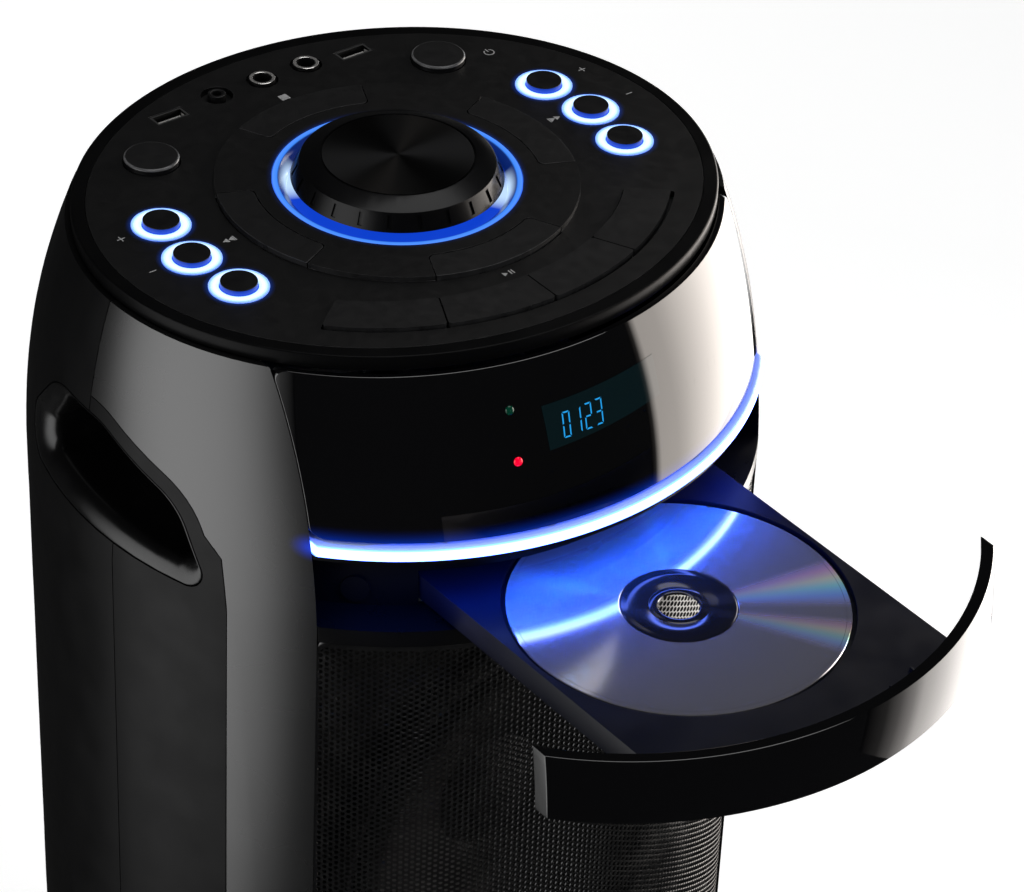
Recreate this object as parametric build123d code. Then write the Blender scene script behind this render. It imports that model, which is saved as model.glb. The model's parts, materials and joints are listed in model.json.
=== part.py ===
from build123d import *
import os
from functools import cache
from math import atan2, cos, degrees, hypot, pi, radians, sin, sqrt, tan

# Karaoke tower with a disc tray, millimetres. +Z is up, the front faces -Y. The origin is the centre of
# the plinth's flat underside, on the vertical axis of the round control panel. The tray is open at rest.

os.makedirs("parts", exist_ok=True)

# ---- body: ovals seen from above, each at a level measured down from the control panel ----
panel_z = 614.0            # control panel above the plinth's underside
body_half_w = 136.6        # at the widest level
body_half_d = 134.1
widest_level = 100.0
bar_line_level = 66.0
bar_line_in = 2.5          # how much narrower the body is at the light bar
shoulder_level = 35.0
shoulder_in_w = 6.6
shoulder_in_d = 11.2
rim_in_w = 16.4
rim_in_d = 26.3
foot_in = 2.6
front_lean = 1.2           # how far the oval's centre moves forward at the shoulder
foot_lean = 4.5            # the same at the bottom
wall = 3.0                 # shell thickness
seam = 0.3                 # gap along a seam between fixed shells
play = 0.3                 # clearance beside a piece that moves
plinth_h = 30.0
plinth_inset = 1.5
plinth_lip = 8.0
foot_r = 13.0
foot_h = 6.0
foot_inset_x = 52.0         # from the plinth's edge to the foot's centre
foot_inset_y = 53.5

# ---- front insert: window, light bar, tray recess and grille, between two vertical planes ----
column_w = 19.5            # front face of the gloss shell on each side of the insert
return_t = 2.5             # thickness of the shell's inward returns
return_depth = 14.0
window_top_level = 6.2
window_bottom_level = 62.8
window_t = 2.5
window_corner_r = 4.0
bar_top_level = 63.6
bar_bottom_level = 69.2
bar_proud = 2.6
bar_depth = 5.0
bar_edge_r = 2.4
recess_top_level = 71.0
recess_floor_level = 98.0
recess_depth = 15.0
recess_t = 2.2
band_bottom_level = 104.6
guide_boss_r = 5.2
guide_boss_h = 1.2
guide_boss_in = 18.6       # from the insert's side to the boss
guide_boss_level = 91.0
grille_top_level = 105.0
grille_bottom_z = 79.0
grille_t = 1.2
grille_inset = 1.0
grille_return = 3.5
grille_corner_r = 4.0
grille_columns = 12
grille_rows = 15
grille_bar = 7.0           # metal left between the openings
grille_border = 4.0

# ---- side panels and carry handles ----
column_in = 16.5           # plane where the front shell ends, in from the widest point
side_seam_y = -17.4        # plane between side panel and rear shell
shoulder_seam_y = 1.0      # plane between front shell and rear shell above the handle
handle_y = -7.0            # middle of the handle outline
handle_level = 71.5
handle_len = 106.0
handle_h = 47.0
handle_slope = 0.25        # how much lower the outline's rear bottom corner lies, over half its height
handle_arch_r = 24.0
handle_corner_r = 6.0
handle_rim = 6.0           # strip of side panel that runs round the outline
flank_corner = 0.458       # where the flank's top edge leaves the strip, as a share of the handle's length
flank_fall = 1.06          # how steeply that edge falls toward the front column
handle_lip = 9.0           # depth of the sloped lip
handle_lip_front = 6.0     # width of the lip at each side of the inner mouth
handle_lip_rear = 14.0
handle_lip_top = 2.5
handle_lip_bottom = 7.0
handle_depth = 30.0

# ---- control panel ----
ring_h = 5.5
ring_band_w = 5.0          # flat band between the panel's edge and the rim
ring_band_d = 5.8
ring_ledge = 4.0
ring_edge_r = 0.8
panel_t = 2.5
panel_gap = 0.2
deck_border = 9.2          # panel left between the raised deck and the front arc
led_border = 12.6          # the same between the deck and the rings of the round keys
deck_h = 2.0               # raised middle deck
segment_w = 13.2           # width of the four keys in the deck
well_border = 7.2          # deck left between them and the knob's well
segment_half_angle = 24.7
segment_gap = 0.5
segment_corner_r = 2.5
slot_border_w = 11.2       # panel left outside the front arc of keys, at the sides
slot_border_d = 8.6        # the same at the front
slot_w = 18.6
slot_start = -142.0
slot_end = -38.0
slot_corner_r = 1.2
slot_button_rise = 0.8
slot_gap_in = 0.5
slot_gap_out = 1.5
led_button_r = 6.6
led_button_rise = 2.4
led_ring_r = 10.7
led_ring_rise = 0.3
led_gap = 0.35
key_arc_in_w = 26.3        # from the panel's edge to the oval that the round keys lie on, at the sides
key_arc_in_d = 13.1        # the same at the back
led_step = 15.55           # angle between neighbours
dome_button_r = 10.2
dome_button_rise = 2.4
dome_gap = 0.4
dome_turn = 46.6           # bass and power keys, angle from the middle of the back
cap_skirt = 1.2            # retaining flange round the foot of each button
cap_skirt_t = 1.0
stem_r = 2.0
press_travel = 1.0
usb_x = 41.6
usb_drop = 2.4             # USB ports stand this much nearer the middle than the sockets
usb_w = 14.0
usb_h = 6.6
usb_depth = 13.0
usb_wall = 0.8
usb_tongue_t = 2.0
usb_tongue_drop = 2.0
socket_border = 16.0       # from the panel's rear edge to the row of sockets
mic_x = (1.5, 21.4)
mic_hole_r = 3.2
mic_ring_r = 5.1
mic_well_r = 6.1
mic_len = 26.0
aux_x = -18.9
aux_hole_r = 1.8
aux_tube_r = 3.4
aux_len = 15.0
jack_rise = 0.8
jack_floor = 2.0
knob_rim_in = 6.8          # from the well's wall to the knob
knob_bottom = 2.6          # above the panel
knob_top = 11.6
knob_ridge_in = 3.8        # from the knob's foot to its ridge
knob_face_in = 11.1        # from the foot to the spun face
knob_ridge_drop = 2.6
knob_groove = 0.7
knob_hollow = 5.0
knob_hub_r = 6.0
knob_notches = 22
knob_notch_w = 1.9
knob_notch_len = 4.8
knob_notch_depth = 0.8
knob_shaft_r = 3.0
encoder_half = 8.0
encoder_wall = 2.0
encoder_floor = 2.0
shaft_fit = 0.05           # running clearance of every shaft
glow_w = 5.6               # from the well's wall to the inner edge of the ring round the knob
glow_t = 3.0
glow_land = 2.2            # flat outer border of the ring round the knob
glow_drop = 1.2            # its inner edge, below the panel
glow_floor_r = 12.0
board_drop = 9.0           # from the panel's underside to the board
board_t = 1.6
board_border = 8.0
post_r = 2.5
post_gap = 6.5             # from the deck to the post behind it
side_posts = ((42.4, 34.0), (-32.5, 18.0), (7.7, 12.2))    # angle, and distance in from the panel's edge
switch_h = 2.0

# ---- disc drive ----
disc_margin = 3.5          # tray beside the disc
tray_top_level = 86.1
tray_bottom_level = 96.2
tray_wall = 3.0
slot_gap = 1.0             # round the tray where it comes through the recess
tray_skin = 2.6
tray_behind = 102.0        # from the disc's centre to the tray's rear end
tray_travel = 126.0
bezel_top_level = 72.5
bezel_bottom_level = 97.2
bezel_t = 4.5
bezel_gap = 1.0            # at each end of the bezel when it is shut
disc_r = 60.0
disc_hole_r = 7.5
disc_t = 1.2
spindle_y = -40.0
disc_well_gap = 1.6
disc_well_depth = 2.2
small_well_r = 41.0
small_well_depth = 0.9
hub_slot_half_w = 22.0
rib_count = 6
rib_pitch = 12.2
rib_len = 7.0
rib_h = 1.6
rib_t = 0.8
rib_x = 10.0
rack_module = 1.0
rack_back = 2.5            # bar behind the teeth
rack_spare = 8.0           # rack left past the gear when the tray is shut
gear_teeth = 16
gear_x = 32.0
gear_behind = 22.9         # from the recess's back wall to the gear's axis
gear_h = 5.0
tooth_fit = 0.18           # taken off each flank
tooth_root = 0.5           # depth of a tooth inside the rack or gear
gear_shaft_r = 2.0
chassis_t = 3.0
chassis_floor_level = 99.0
chassis_spare = 18.0       # chassis left behind the shut tray
runner_w = 2.0
turntable_r = 14.0
turntable_top_level = 97.6
turntable_h = 3.0
spindle_r = 1.5
motor_r = 12.0
motor_h = 12.0
tray_motor_r = 9.0
tray_motor_h = 14.0
rod_r = 1.5
rod_x = 13.0
rod_level = 106.0
rod_front_y = spindle_y + 13.0
hanger_t = 3.0
hanger_wall = 2.0
hanger_gap = 0.5
pickup_w = 34.0
pickup_len = 26.0
pickup_travel = 33.0
pickup_under = 4.0
lens_r = 3.5
lens_rise = 1.2
bridge_level = 80.0
bridge_t = 2.0
bridge_len = 24.0
clamp_r = 14.0
clamp_hub_r = 7.0
clamp_cap_r = 10.0
clamp_t = 2.6

# ---- speakers ----
baffle_behind = 50.1       # from the body's front to the board
baffle_t = 12.0
woofer_top_level = 146.2   # top of the upper trim ring
woofer_space = 18.4        # between the two trim rings
woofer_border = 16.6       # from the insert's side to the basket's flange
woofer_flange_w = 10.0
woofer_flange_t = 3.0
trim_ring_w = 6.5
trim_ring_h = 6.0
roll_r = 5.0
cone_gap = 5.5             # between the cone's rim and the board's hole
cone_depth = 28.0
cone_t = 1.5
cap_r = 24.0
cap_rise = 6.0             # dust cap's rim above the back of the cone
cap_dome = 6.0
coil_r = 18.0
coil_len = 14.0
coil_gap = 6.0
magnet_r = 48.0
magnet_h = 22.0
basket_t = 4.0
cone_travel = 3.0

# ---- rear and inside ----
service_half_w = 46.0
service_behind = 22.1      # from the body's rear to the recessed plate
service_z0 = 70.0
service_h = 120.0
service_t = 2.5
inlet_z = 104.0
inlet_w = 15.6
inlet_h = 8.8
inlet_depth = 17.0
inlet_flange = 6.0
inlet_flange_t = 1.5
inlet_wall = 2.5
pin_len = 11.0
pin_r = 1.2
pin_gap = 8.6
switch_z = 150.0
rocker_w = 12.0
rocker_h = 16.4
rocker_swing = 7.0
rocker_rise = 2.2
rocker_depth = 6.0
rocker_gap = 1.2
screw_r = 1.5
screw_head_r = 3.0
screw_head_h = 2.0
screw_len = 8.0
battery_w = 150.0
battery_d = 56.0
battery_h = 55.0
power_board_w = 130.0
power_board_d = 70.0
battery_gap = 0.5
power_gap = 12.0
standoff_r = 3.0
standoff_h = 5.0
transformer_w = 40.0
transformer_h = 34.0
heat_sink_w = 44.0
heat_sink_t = 12.0
heat_sink_h = 40.0
display_half_w = 28.0
display_top_level = 19.0
display_bottom_level = 41.0
display_t = 7.0

reach = 300.0              # larger than the whole part, for cutting tools

insert_gap = play          # beside the pieces that fill the front insert
bar_line_half_w = body_half_w - bar_line_in
bar_line_half_d = body_half_d - bar_line_in
rim_half_w = body_half_w - rim_in_w
rim_half_d = body_half_d - rim_in_d
foot_half_w = body_half_w - foot_in
foot_half_d = body_half_d - foot_in
front_column_x = body_half_w - column_in
insert_half_w = front_column_x - column_w
bezel_half_w = insert_half_w - bezel_gap
guide_boss_x = insert_half_w - guide_boss_in
disc_y = spindle_y - tray_travel
tray_half_w = disc_r + disc_margin
tray_rear_y = disc_y + tray_behind
disc_well_r = disc_r + disc_well_gap
recess_back_y = recess_depth + recess_t - body_half_d
gear_y = recess_back_y + gear_behind
chassis_rear_y = tray_rear_y + tray_travel + chassis_spare
baffle_y = baffle_behind - body_half_d
service_y = body_half_d - service_behind
woofer_flange_r = insert_half_w - woofer_border
woofer_hole_r = woofer_flange_r - woofer_flange_w
cone_r = woofer_hole_r - cone_gap
trim_ring_in_r = woofer_flange_r + play
trim_ring_r = trim_ring_in_r + trim_ring_w
upper_level = woofer_top_level + trim_ring_r
woofer_levels = (upper_level, upper_level + 2 * trim_ring_r + woofer_space)
deck_z = panel_z + deck_h
panel_under = panel_z - panel_t
board_z = panel_under - board_drop
panel_half_w = rim_half_w - ring_band_w
panel_half_d = rim_half_d - ring_band_d
slot_out_w = panel_half_w - slot_border_w
slot_out_d = panel_half_d - slot_border_d
slot_in_w = slot_out_w - slot_w
slot_in_d = slot_out_d - slot_w
key_arc_w = panel_half_w - key_arc_in_w
key_arc_d = panel_half_d - key_arc_in_d
dome_x = key_arc_w * sin(radians(dome_turn))
dome_y = key_arc_d * cos(radians(dome_turn))
deck_r = min(slot_in_d - deck_border, key_arc_w - led_ring_r - led_border)
segment_in_r = deck_r - segment_w
knob_well_r = segment_in_r - well_border
knob_r = knob_well_r - knob_rim_in
knob_ridge_r = knob_r - knob_ridge_in
knob_face_r = knob_r - knob_face_in
glow_in_r = knob_well_r - glow_w
socket_y = panel_half_d - socket_border
usb_y = socket_y - usb_drop


def z_at(level):
    """Height of a level that is measured down from the control panel."""
    return panel_z - level


def block(x0, x1, y0, y1, z0, z1):
    """Box between two opposite corners."""
    centre = Pos((x0 + x1) / 2, (y0 + y1) / 2, (z0 + z1) / 2)
    return centre * Box(abs(x1 - x0), abs(y1 - y0), abs(z1 - z0))


def slab(half_w, y0, y1, z0, z1):
    """Box that is centred on the middle plane."""
    return block(-half_w, half_w, y0, y1, z0, z1)


def post(x, y, half_w, half_d, z0, z1):
    """Box with its centre at a place in the plan."""
    return block(x - half_w, x + half_w, y - half_d, y + half_d, z0, z1)


def disk(x, y, r, z0, z1):
    """Upright cylinder."""
    return Pos(x, y, (z0 + z1) / 2) * Cylinder(r, abs(z1 - z0))


def rod_y(x, z, r, y0, y1):
    """Cylinder along Y."""
    return Pos(x, (y0 + y1) / 2, z) * Rot(90, 0, 0) * Cylinder(r, abs(y1 - y0))


def oval_disk(half_w, half_d, z0, z1, y=0.0):
    """Upright prism with an oval plan."""
    return extrude(Pos(0, y, z0) * Ellipse(half_w, half_d), amount=z1 - z0)


def station(level, in_w, in_d, lean, inset):
    """Oval of the body at a level, narrower than the widest one by in_w and in_d."""
    return Pos(0, -lean, z_at(level)) * Ellipse(body_half_w - in_w - inset, body_half_d - in_d - inset)


@cache
def body_form(inset):
    """Solid inside the body's outer surface, set in by a distance."""
    widest = station(widest_level, 0, 0, 1.5 * front_lean, inset)
    shoulders = loft([
        widest,
        station(bar_line_level, bar_line_in, bar_line_in, front_lean, inset),
        station(shoulder_level, shoulder_in_w, shoulder_in_d, front_lean, inset),
        station(0, rim_in_w, rim_in_d, 0, inset),
    ])
    trunk = loft([station(panel_z, foot_in, foot_in, foot_lean, inset), widest], ruled=True)
    return shoulders + trunk


def front_prism(half_w, z0, z1, corner_r):
    """Rounded rectangle seen from the front, run back to the body's middle."""
    outline = RectangleRounded(2 * half_w, z1 - z0, corner_r)
    return extrude(Plane.XZ * Pos(0, (z0 + z1) / 2) * outline, amount=reach)


def mirror_pair(shape):
    """The shape and its mirror image across the middle plane, as one compound."""
    return Compound(children=[shape, mirror(shape, about=Plane.YZ)])


def group(shapes):
    return Compound(children=list(shapes))


def save(name, shape):
    shape.label = name
    export_step(shape, f"parts/{name}.step")


# ---- shells ----
outer = body_form(0)
inner = body_form(wall)
shell_top = z_at(ring_h + seam)
shell_bottom = plinth_h + seam
skin = (outer - inner) & block(-reach, reach, -reach, reach, shell_bottom, shell_top)


def side_prism(points):
    """Prism along X over an outline of (y, z) points."""
    outline = Plane.YZ * Polygon(*points, align=None)
    return extrude(outline, amount=reach, both=True)


def handle_outline(lip, x):
    """Handle outline in the side view, flat below and arched above, moved in by a share of the lip."""
    front = -handle_len / 2 + lip * handle_lip_front
    rear = handle_len / 2 - lip * handle_lip_rear
    top = handle_h / 2 - lip * handle_lip_top
    bottom = -handle_h / 2 + lip * handle_lip_bottom
    points = [(front, bottom), (rear, bottom + handle_slope * handle_h / 2), (rear, 0.0),
              (0.6 * rear, top), (0.0, top), (0.72 * front, 0.35 * top)]
    rear_r = handle_corner_r * (2 - lip)
    radii = [handle_corner_r, rear_r, rear_r] + [handle_arch_r] * 3
    outline = FilletPolyline(*points, radius=radii, close=True)
    return Plane.YZ * Pos(handle_y, z_at(handle_level), x) * make_face(outline)


handle_prism = extrude(handle_outline(0, 0), amount=reach, both=True)
handle_cut = extrude(offset(handle_outline(0, 0), seam), amount=reach, both=True)


def side_form(gap):
    """Region of the side panels: a strip round the handle and the flank below it, grown by a gap."""
    strip = extrude(offset(handle_outline(0, 0), handle_rim + gap), amount=reach, both=True)
    top = z_at(handle_level) + 1.4 * gap
    corner_y = handle_y - flank_corner * handle_len
    flank = block(front_column_x - gap, reach, -reach, side_seam_y, 0, top)
    flank &= side_prism([
        (-reach, 0), (side_seam_y, 0), (side_seam_y, top), (corner_y, top),
        (-reach, top - flank_fall * (reach + corner_y)),
    ])
    return strip + flank + mirror(flank, about=Plane.YZ)


rear_form = side_prism([
    (reach, 0), (side_seam_y, 0), (side_seam_y, z_at(handle_level)),
    (shoulder_seam_y, z_at(handle_level)), (shoulder_seam_y, panel_z), (reach, panel_z),
])
rear_form_grown = rear_form.moved(Location((0, -seam, 0)))
insert_cut = slab(insert_half_w, -reach, 0, grille_bottom_z, panel_z)
rear_shell = (skin & rear_form) - handle_cut
side_panels = (skin & side_form(0)) - handle_cut - rear_form_grown
front_shell = skin - rear_form_grown - insert_cut - handle_cut - side_form(seam)
return_walls = block(insert_half_w, insert_half_w + return_t, -reach, -wall, grille_bottom_z, shell_top)
return_walls = (return_walls & outer) - body_form(return_depth)
front_shell += return_walls + mirror(return_walls, about=Plane.YZ)

# ---- carry handles ----
cup_floor_x = bar_line_half_w - handle_depth
cup_block = (handle_prism & outer) & block(cup_floor_x - wall, reach, -reach, reach, 0, panel_z)
lip = loft([
    handle_outline(1, bar_line_half_w - handle_lip),
    handle_outline(0.1, bar_line_half_w + 1),
], ruled=True)
pocket = extrude(handle_outline(1, cup_floor_x), amount=handle_depth)
handle_cup = cup_block - lip - pocket
handle_cups = mirror_pair(handle_cup)

# ---- service panel in the back ----
service_top = service_z0 + service_h
panel_face_y = service_y + service_t
hollow_half_w = service_half_w - service_t
hollow_z0 = service_z0 + service_t
hollow_z1 = service_top - service_t
service_panel = slab(service_half_w, service_y, reach, service_z0, service_top) & body_form(seam)
service_panel -= slab(hollow_half_w, panel_face_y, reach, hollow_z0, hollow_z1)
rear_shell -= slab(service_half_w + seam, 0, reach, service_z0 - seam, service_top + seam)
inlet_half_w = inlet_w / 2 + inlet_wall
inlet_half_h = inlet_h / 2 + inlet_wall
cut_half_h = inlet_half_h + seam
service_panel -= slab(inlet_half_w + seam, 0, reach, inlet_z - cut_half_h, inlet_z + cut_half_h)
rocker_half_h = rocker_h / 2
cut_half_h = rocker_half_h + rocker_gap
service_panel -= slab(rocker_w / 2 + play, 0, reach, switch_z - cut_half_h, switch_z + cut_half_h)
screw_inset = 2 * screw_head_r
panel_screws = []
for x in (screw_inset - hollow_half_w, hollow_half_w - screw_inset):
    for z in (hollow_z0 + screw_inset, hollow_z1 - screw_inset):
        service_panel -= rod_y(x, z, screw_r + shaft_fit, service_y, panel_face_y)
        shank = rod_y(x, z, screw_r, panel_face_y - screw_len, panel_face_y)
        panel_screws.append(shank + rod_y(x, z, screw_head_r, panel_face_y, panel_face_y + screw_head_h))

inlet_mouth_y = panel_face_y + inlet_flange_t
inlet_end_y = inlet_mouth_y - inlet_depth
flange_half_h = inlet_half_h + inlet_wall
mains_inlet = slab(inlet_half_w, inlet_end_y - inlet_wall, panel_face_y,
                   inlet_z - inlet_half_h, inlet_z + inlet_half_h)
mains_inlet += slab(inlet_half_w + inlet_flange, panel_face_y, inlet_mouth_y,
                    inlet_z - flange_half_h, inlet_z + flange_half_h)
inlet_hollow = Plane.XZ * Pos(0, inlet_z) * SlotOverall(inlet_w, inlet_h)
mains_inlet -= extrude(inlet_hollow, amount=inlet_depth, both=True).moved(Location((0, inlet_mouth_y, 0)))
for side in (-1, 1):
    mains_inlet += rod_y(side * pin_gap / 2, inlet_z, pin_r, inlet_end_y, inlet_end_y + pin_len)

rocker_face = [(-rocker_half_h, rocker_rise), (0, rocker_rise - 1), (rocker_half_h, rocker_rise),
               (rocker_half_h, -2), (rocker_half_h / 2, -rocker_depth), (-rocker_half_h / 2, -rocker_depth),
               (-rocker_half_h, -2)]
rocker_profile = Plane.YZ * Polygon(*[(y, z) for z, y in rocker_face], align=None)
rocker_switch = Pos(0, panel_face_y, switch_z) * Rot(-rocker_swing, 0, 0) * extrude(
    rocker_profile, amount=rocker_w / 2, both=True)

# ---- plinth and feet ----
plinth_w = foot_half_w - plinth_inset
plinth_d = foot_half_d - plinth_inset
base = oval_disk(plinth_w, plinth_d, 0, plinth_h, -foot_lean)
lip_w = foot_half_w - wall - seam
lip_d = foot_half_d - wall - seam
lip_top = plinth_h + plinth_lip
base += oval_disk(lip_w, lip_d, plinth_h, lip_top, -foot_lean)
base -= oval_disk(lip_w - wall, lip_d - wall, wall, lip_top, -foot_lean)
rubber_feet = group(
    disk(sx * (foot_half_w - foot_inset_x), sy * (foot_half_d - foot_inset_y) - foot_lean, foot_r, -foot_h, 0)
    for sx in (-1, 1) for sy in (-1, 1))

# ---- rim ring and control panel ----
ring_bottom = z_at(ring_h)
bezel_ring = oval_disk(rim_half_w, rim_half_d, ring_bottom, panel_z)
bezel_ring = fillet(bezel_ring.faces().sort_by(Axis.Z)[-1].edges(), ring_edge_r)
bezel_ring -= oval_disk(panel_half_w, panel_half_d, panel_under, panel_z + 1)
bezel_ring -= oval_disk(panel_half_w - ring_ledge, panel_half_d - ring_ledge, ring_bottom - 1, panel_z)


def rounded_prism(band, start, end, within, radius, z0, z1):
    """Prism over a flat ring's stretch between two angles, with its corners rounded inside a distance."""
    span = reach / cos(radians(end - start) / 2)
    rays = [(span * cos(radians(a)), span * sin(radians(a))) for a in (start, end)]
    face = (band & Polygon((0, 0), *rays, align=None)).face()
    corners = [v for v in face.vertices() if hypot(v.X, v.Y) < within]
    return extrude(Pos(0, 0, z0) * fillet(corners, radius), amount=z1 - z0)


def segment(inset, centre, z0, z1):
    """Sector of the raised deck for one of the four keys round the knob."""
    half = segment_half_angle - degrees(inset / deck_r)
    band = Circle(deck_r - min(inset, 0)) - Circle(segment_in_r + inset)
    middle_r = (segment_in_r + deck_r) / 2
    return rounded_prism(band, centre - half, centre + half, middle_r, segment_corner_r, z0, z1)


def arc_key(start, end, gap_in, gap_out, gap_end, z0, z1):
    """Part of the front arc between two angles, smaller than the slot by its gaps."""
    band = Ellipse(slot_out_w - gap_out, slot_out_d - gap_out) - Ellipse(slot_in_w + gap_in, slot_in_d + gap_in)
    trim = degrees(gap_end / slot_in_d)
    return rounded_prism(band, start + trim, end - trim, reach, slot_corner_r, z0, z1)


top_panel = oval_disk(panel_half_w - panel_gap, panel_half_d - panel_gap, panel_under, panel_z)
top_panel += disk(0, 0, deck_r, panel_under, deck_z)
top_panel -= disk(0, 0, knob_well_r, panel_under, deck_z)
segment_centres = {"stop_button": 90, "previous_button": 180, "play_button": -90, "next_button": 0}
for centre in segment_centres.values():
    top_panel -= segment(-segment_gap, centre, panel_under, deck_z)
top_panel -= arc_key(slot_start, slot_end, 0, 0, 0, panel_under, panel_z)
led_turns = [radians(led_step * i) for i in (1, 0, -1)]
led_spots = [(side * key_arc_w * cos(a), key_arc_d * sin(a)) for side in (-1, 1) for a in led_turns]
for x, y in led_spots:
    top_panel -= disk(x, y, led_ring_r + panel_gap, panel_under, panel_z)
for x in (-dome_x, dome_x):
    top_panel -= disk(x, dome_y, dome_button_r + dome_gap, panel_under, panel_z)
for side in (-1, 1):
    top_panel -= post(side * usb_x, usb_y, usb_w / 2, usb_h / 2, panel_under, panel_z)
for x in (*mic_x, aux_x):
    top_panel -= disk(x, socket_y, mic_well_r, panel_under, panel_z)
board_top = board_z + board_t
post_spots = [(0, -(slot_in_d + deck_r) / 2), (0, deck_r + post_gap)]
for turn, border in side_posts:
    post_x = (panel_half_w - border) * cos(radians(turn))
    post_y = (panel_half_d - border) * sin(radians(turn))
    post_spots += [(post_x, post_y), (-post_x, post_y)]
for x, y in post_spots:
    top_panel += disk(x, y, post_r, board_top, panel_under)

# ---- keys: each has a cap, a retaining flange under the panel and a stem over its switch ----
stem_bottom = board_top + switch_h + press_travel + 0.2
flange_top = panel_under - play
flange_bottom = flange_top - cap_skirt_t
stem_spots = []


def stem(x, y):
    stem_spots.append((x, y))
    return disk(x, y, stem_r, stem_bottom, flange_top)


buttons = {}
for name, centre in segment_centres.items():
    mid_r = (segment_in_r + deck_r) / 2
    key = segment(0, centre, flange_bottom, deck_z)
    flange = segment(-segment_gap - cap_skirt, centre, flange_bottom, flange_top)
    buttons[name] = key + flange + stem(mid_r * cos(radians(centre)), mid_r * sin(radians(centre)))

arc_names = ("open_close_button", "program_button", "light_button", "source_button")
arc_step = (slot_end - slot_start) / len(arc_names)
arc_bounds = [slot_start + i * arc_step for i in range(len(arc_names) + 1)]
arc_end_gap = slot_gap_in / 2
for name, start, end in zip(arc_names, arc_bounds, arc_bounds[1:]):
    key_top = panel_z + slot_button_rise
    key = arc_key(start, end, slot_gap_in, slot_gap_out, arc_end_gap, flange_bottom, key_top)
    flange = arc_key(start, end, -cap_skirt, -cap_skirt, arc_end_gap, flange_bottom, flange_top)
    mid = radians((start + end) / 2)
    mid_w = (slot_in_w + slot_out_w) / 2
    mid_d = (slot_in_d + slot_out_d) / 2
    buttons[name] = key + flange + stem(mid_w * cos(mid), mid_d * sin(mid))

led_names = ("left_upper_button", "left_middle_button", "left_lower_button",
             "right_upper_button", "right_middle_button", "right_lower_button")
light_rings = []
for name, (x, y) in zip(led_names, led_spots):
    ring = disk(x, y, led_ring_r, panel_under, panel_z + led_ring_rise)
    light_rings.append(ring - disk(x, y, led_button_r + led_gap, panel_under, panel_z + led_button_rise))
    key = disk(x, y, led_button_r, flange_bottom, panel_z + led_button_rise)
    flange = disk(x, y, led_button_r + led_gap + cap_skirt, flange_bottom, flange_top)
    buttons[name] = key + flange + stem(x, y)

for name, x in (("bass_button", -dome_x), ("power_button", dome_x)):
    key = disk(x, dome_y, dome_button_r, flange_bottom, panel_z + dome_button_rise)
    key = fillet(key.faces().sort_by(Axis.Z)[-1].edges(), 1.0)
    flange = disk(x, dome_y, dome_button_r + dome_gap + cap_skirt, flange_bottom, flange_top)
    buttons[name] = key + flange + stem(x, dome_y)

control_board = oval_disk(panel_half_w - board_border, panel_half_d - board_border, board_z, board_top)
for x, y in stem_spots:
    control_board += block(x - 3, x + 3, y - 3, y + 3, board_top, board_top + switch_h)

# ---- sockets ----
can_half_w = usb_w / 2 - panel_gap
can_half_h = usb_h / 2 - panel_gap
usb_bottom = panel_z - usb_depth
usb_port = post(0, 0, can_half_w, can_half_h, usb_bottom, panel_z - panel_gap)
usb_port -= post(0, 0, can_half_w - usb_wall, can_half_h - usb_wall, usb_bottom + usb_wall, panel_z)
usb_port += post(0, 0, can_half_w - 2 * usb_wall, usb_tongue_t / 2, usb_bottom, panel_z - usb_tongue_drop)
usb_ports = group(Pos(side * usb_x, usb_y, 0) * usb_port for side in (-1, 1))
for side in (-1, 1):
    notch_x = side * usb_x
    control_board -= block(notch_x - usb_w / 2, notch_x + usb_w / 2, usb_y - usb_h, reach, board_z, board_top)


housing_half = mic_well_r + 1


def jack(x, y, hole_r, tube_r, length):
    """Socket: a raised ring round a blind hole, over a square housing."""
    top = panel_z + jack_rise
    solid = disk(x, y, tube_r, panel_under, top)
    solid += post(x, y, housing_half, housing_half, top - length - jack_floor, panel_under)
    return solid - disk(x, y, hole_r, top - length, top)


jack_spots = [(x, socket_y, mic_hole_r, mic_ring_r, mic_len) for x in mic_x]
jack_spots.append((aux_x, socket_y, aux_hole_r, aux_tube_r, aux_len))
jack_sockets = group(jack(*spot) for spot in jack_spots)
for spot in jack_spots:
    half = housing_half + seam
    control_board -= block(spot[0] - half, spot[0] + half, spot[1] - half, reach, board_z, board_top)

# ---- knob, its light ring and encoder ----
knob_base = panel_z + knob_bottom
knob_crown = panel_z + knob_top
ridge_z = knob_crown - knob_ridge_drop
knob_hollow_z = knob_base + knob_hollow
knob_shoulder_r = knob_ridge_r + knob_groove
knob_profile = Polygon(
    (0, knob_hollow_z), (knob_ridge_r - 3, knob_hollow_z), (knob_ridge_r - 2, knob_base), (knob_r, knob_base),
    (knob_shoulder_r, ridge_z), (knob_ridge_r, ridge_z + 0.3),
    (knob_face_r + knob_groove, knob_crown), (knob_face_r + knob_groove, knob_crown - knob_groove),
    (knob_face_r, knob_crown - knob_groove), (knob_face_r, knob_crown), (0, knob_crown), align=None)
volume_knob = revolve(Plane.XZ * knob_profile, Axis.Z)
skirt_turn = degrees(atan2(knob_r - knob_shoulder_r, ridge_z - knob_base))
notch = Rot(0, -skirt_turn, 0) * Box(2 * knob_notch_depth, knob_notch_w, knob_notch_len)
notch = Pos((knob_r + knob_shoulder_r) / 2, 0, (ridge_z + knob_base) / 2) * notch
for i in range(knob_notches):
    volume_knob -= Rot(0, 0, i * 360 / knob_notches) * notch
encoder_top = knob_base - 1
volume_knob += disk(0, 0, knob_hub_r, knob_base, knob_hollow_z)
volume_knob += disk(0, 0, knob_shaft_r, board_top + encoder_floor + play, knob_base)
volume_encoder = post(0, 0, encoder_half, encoder_half, board_top, panel_under)
volume_encoder += disk(0, 0, knob_shaft_r + encoder_wall, panel_under, encoder_top)
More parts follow.
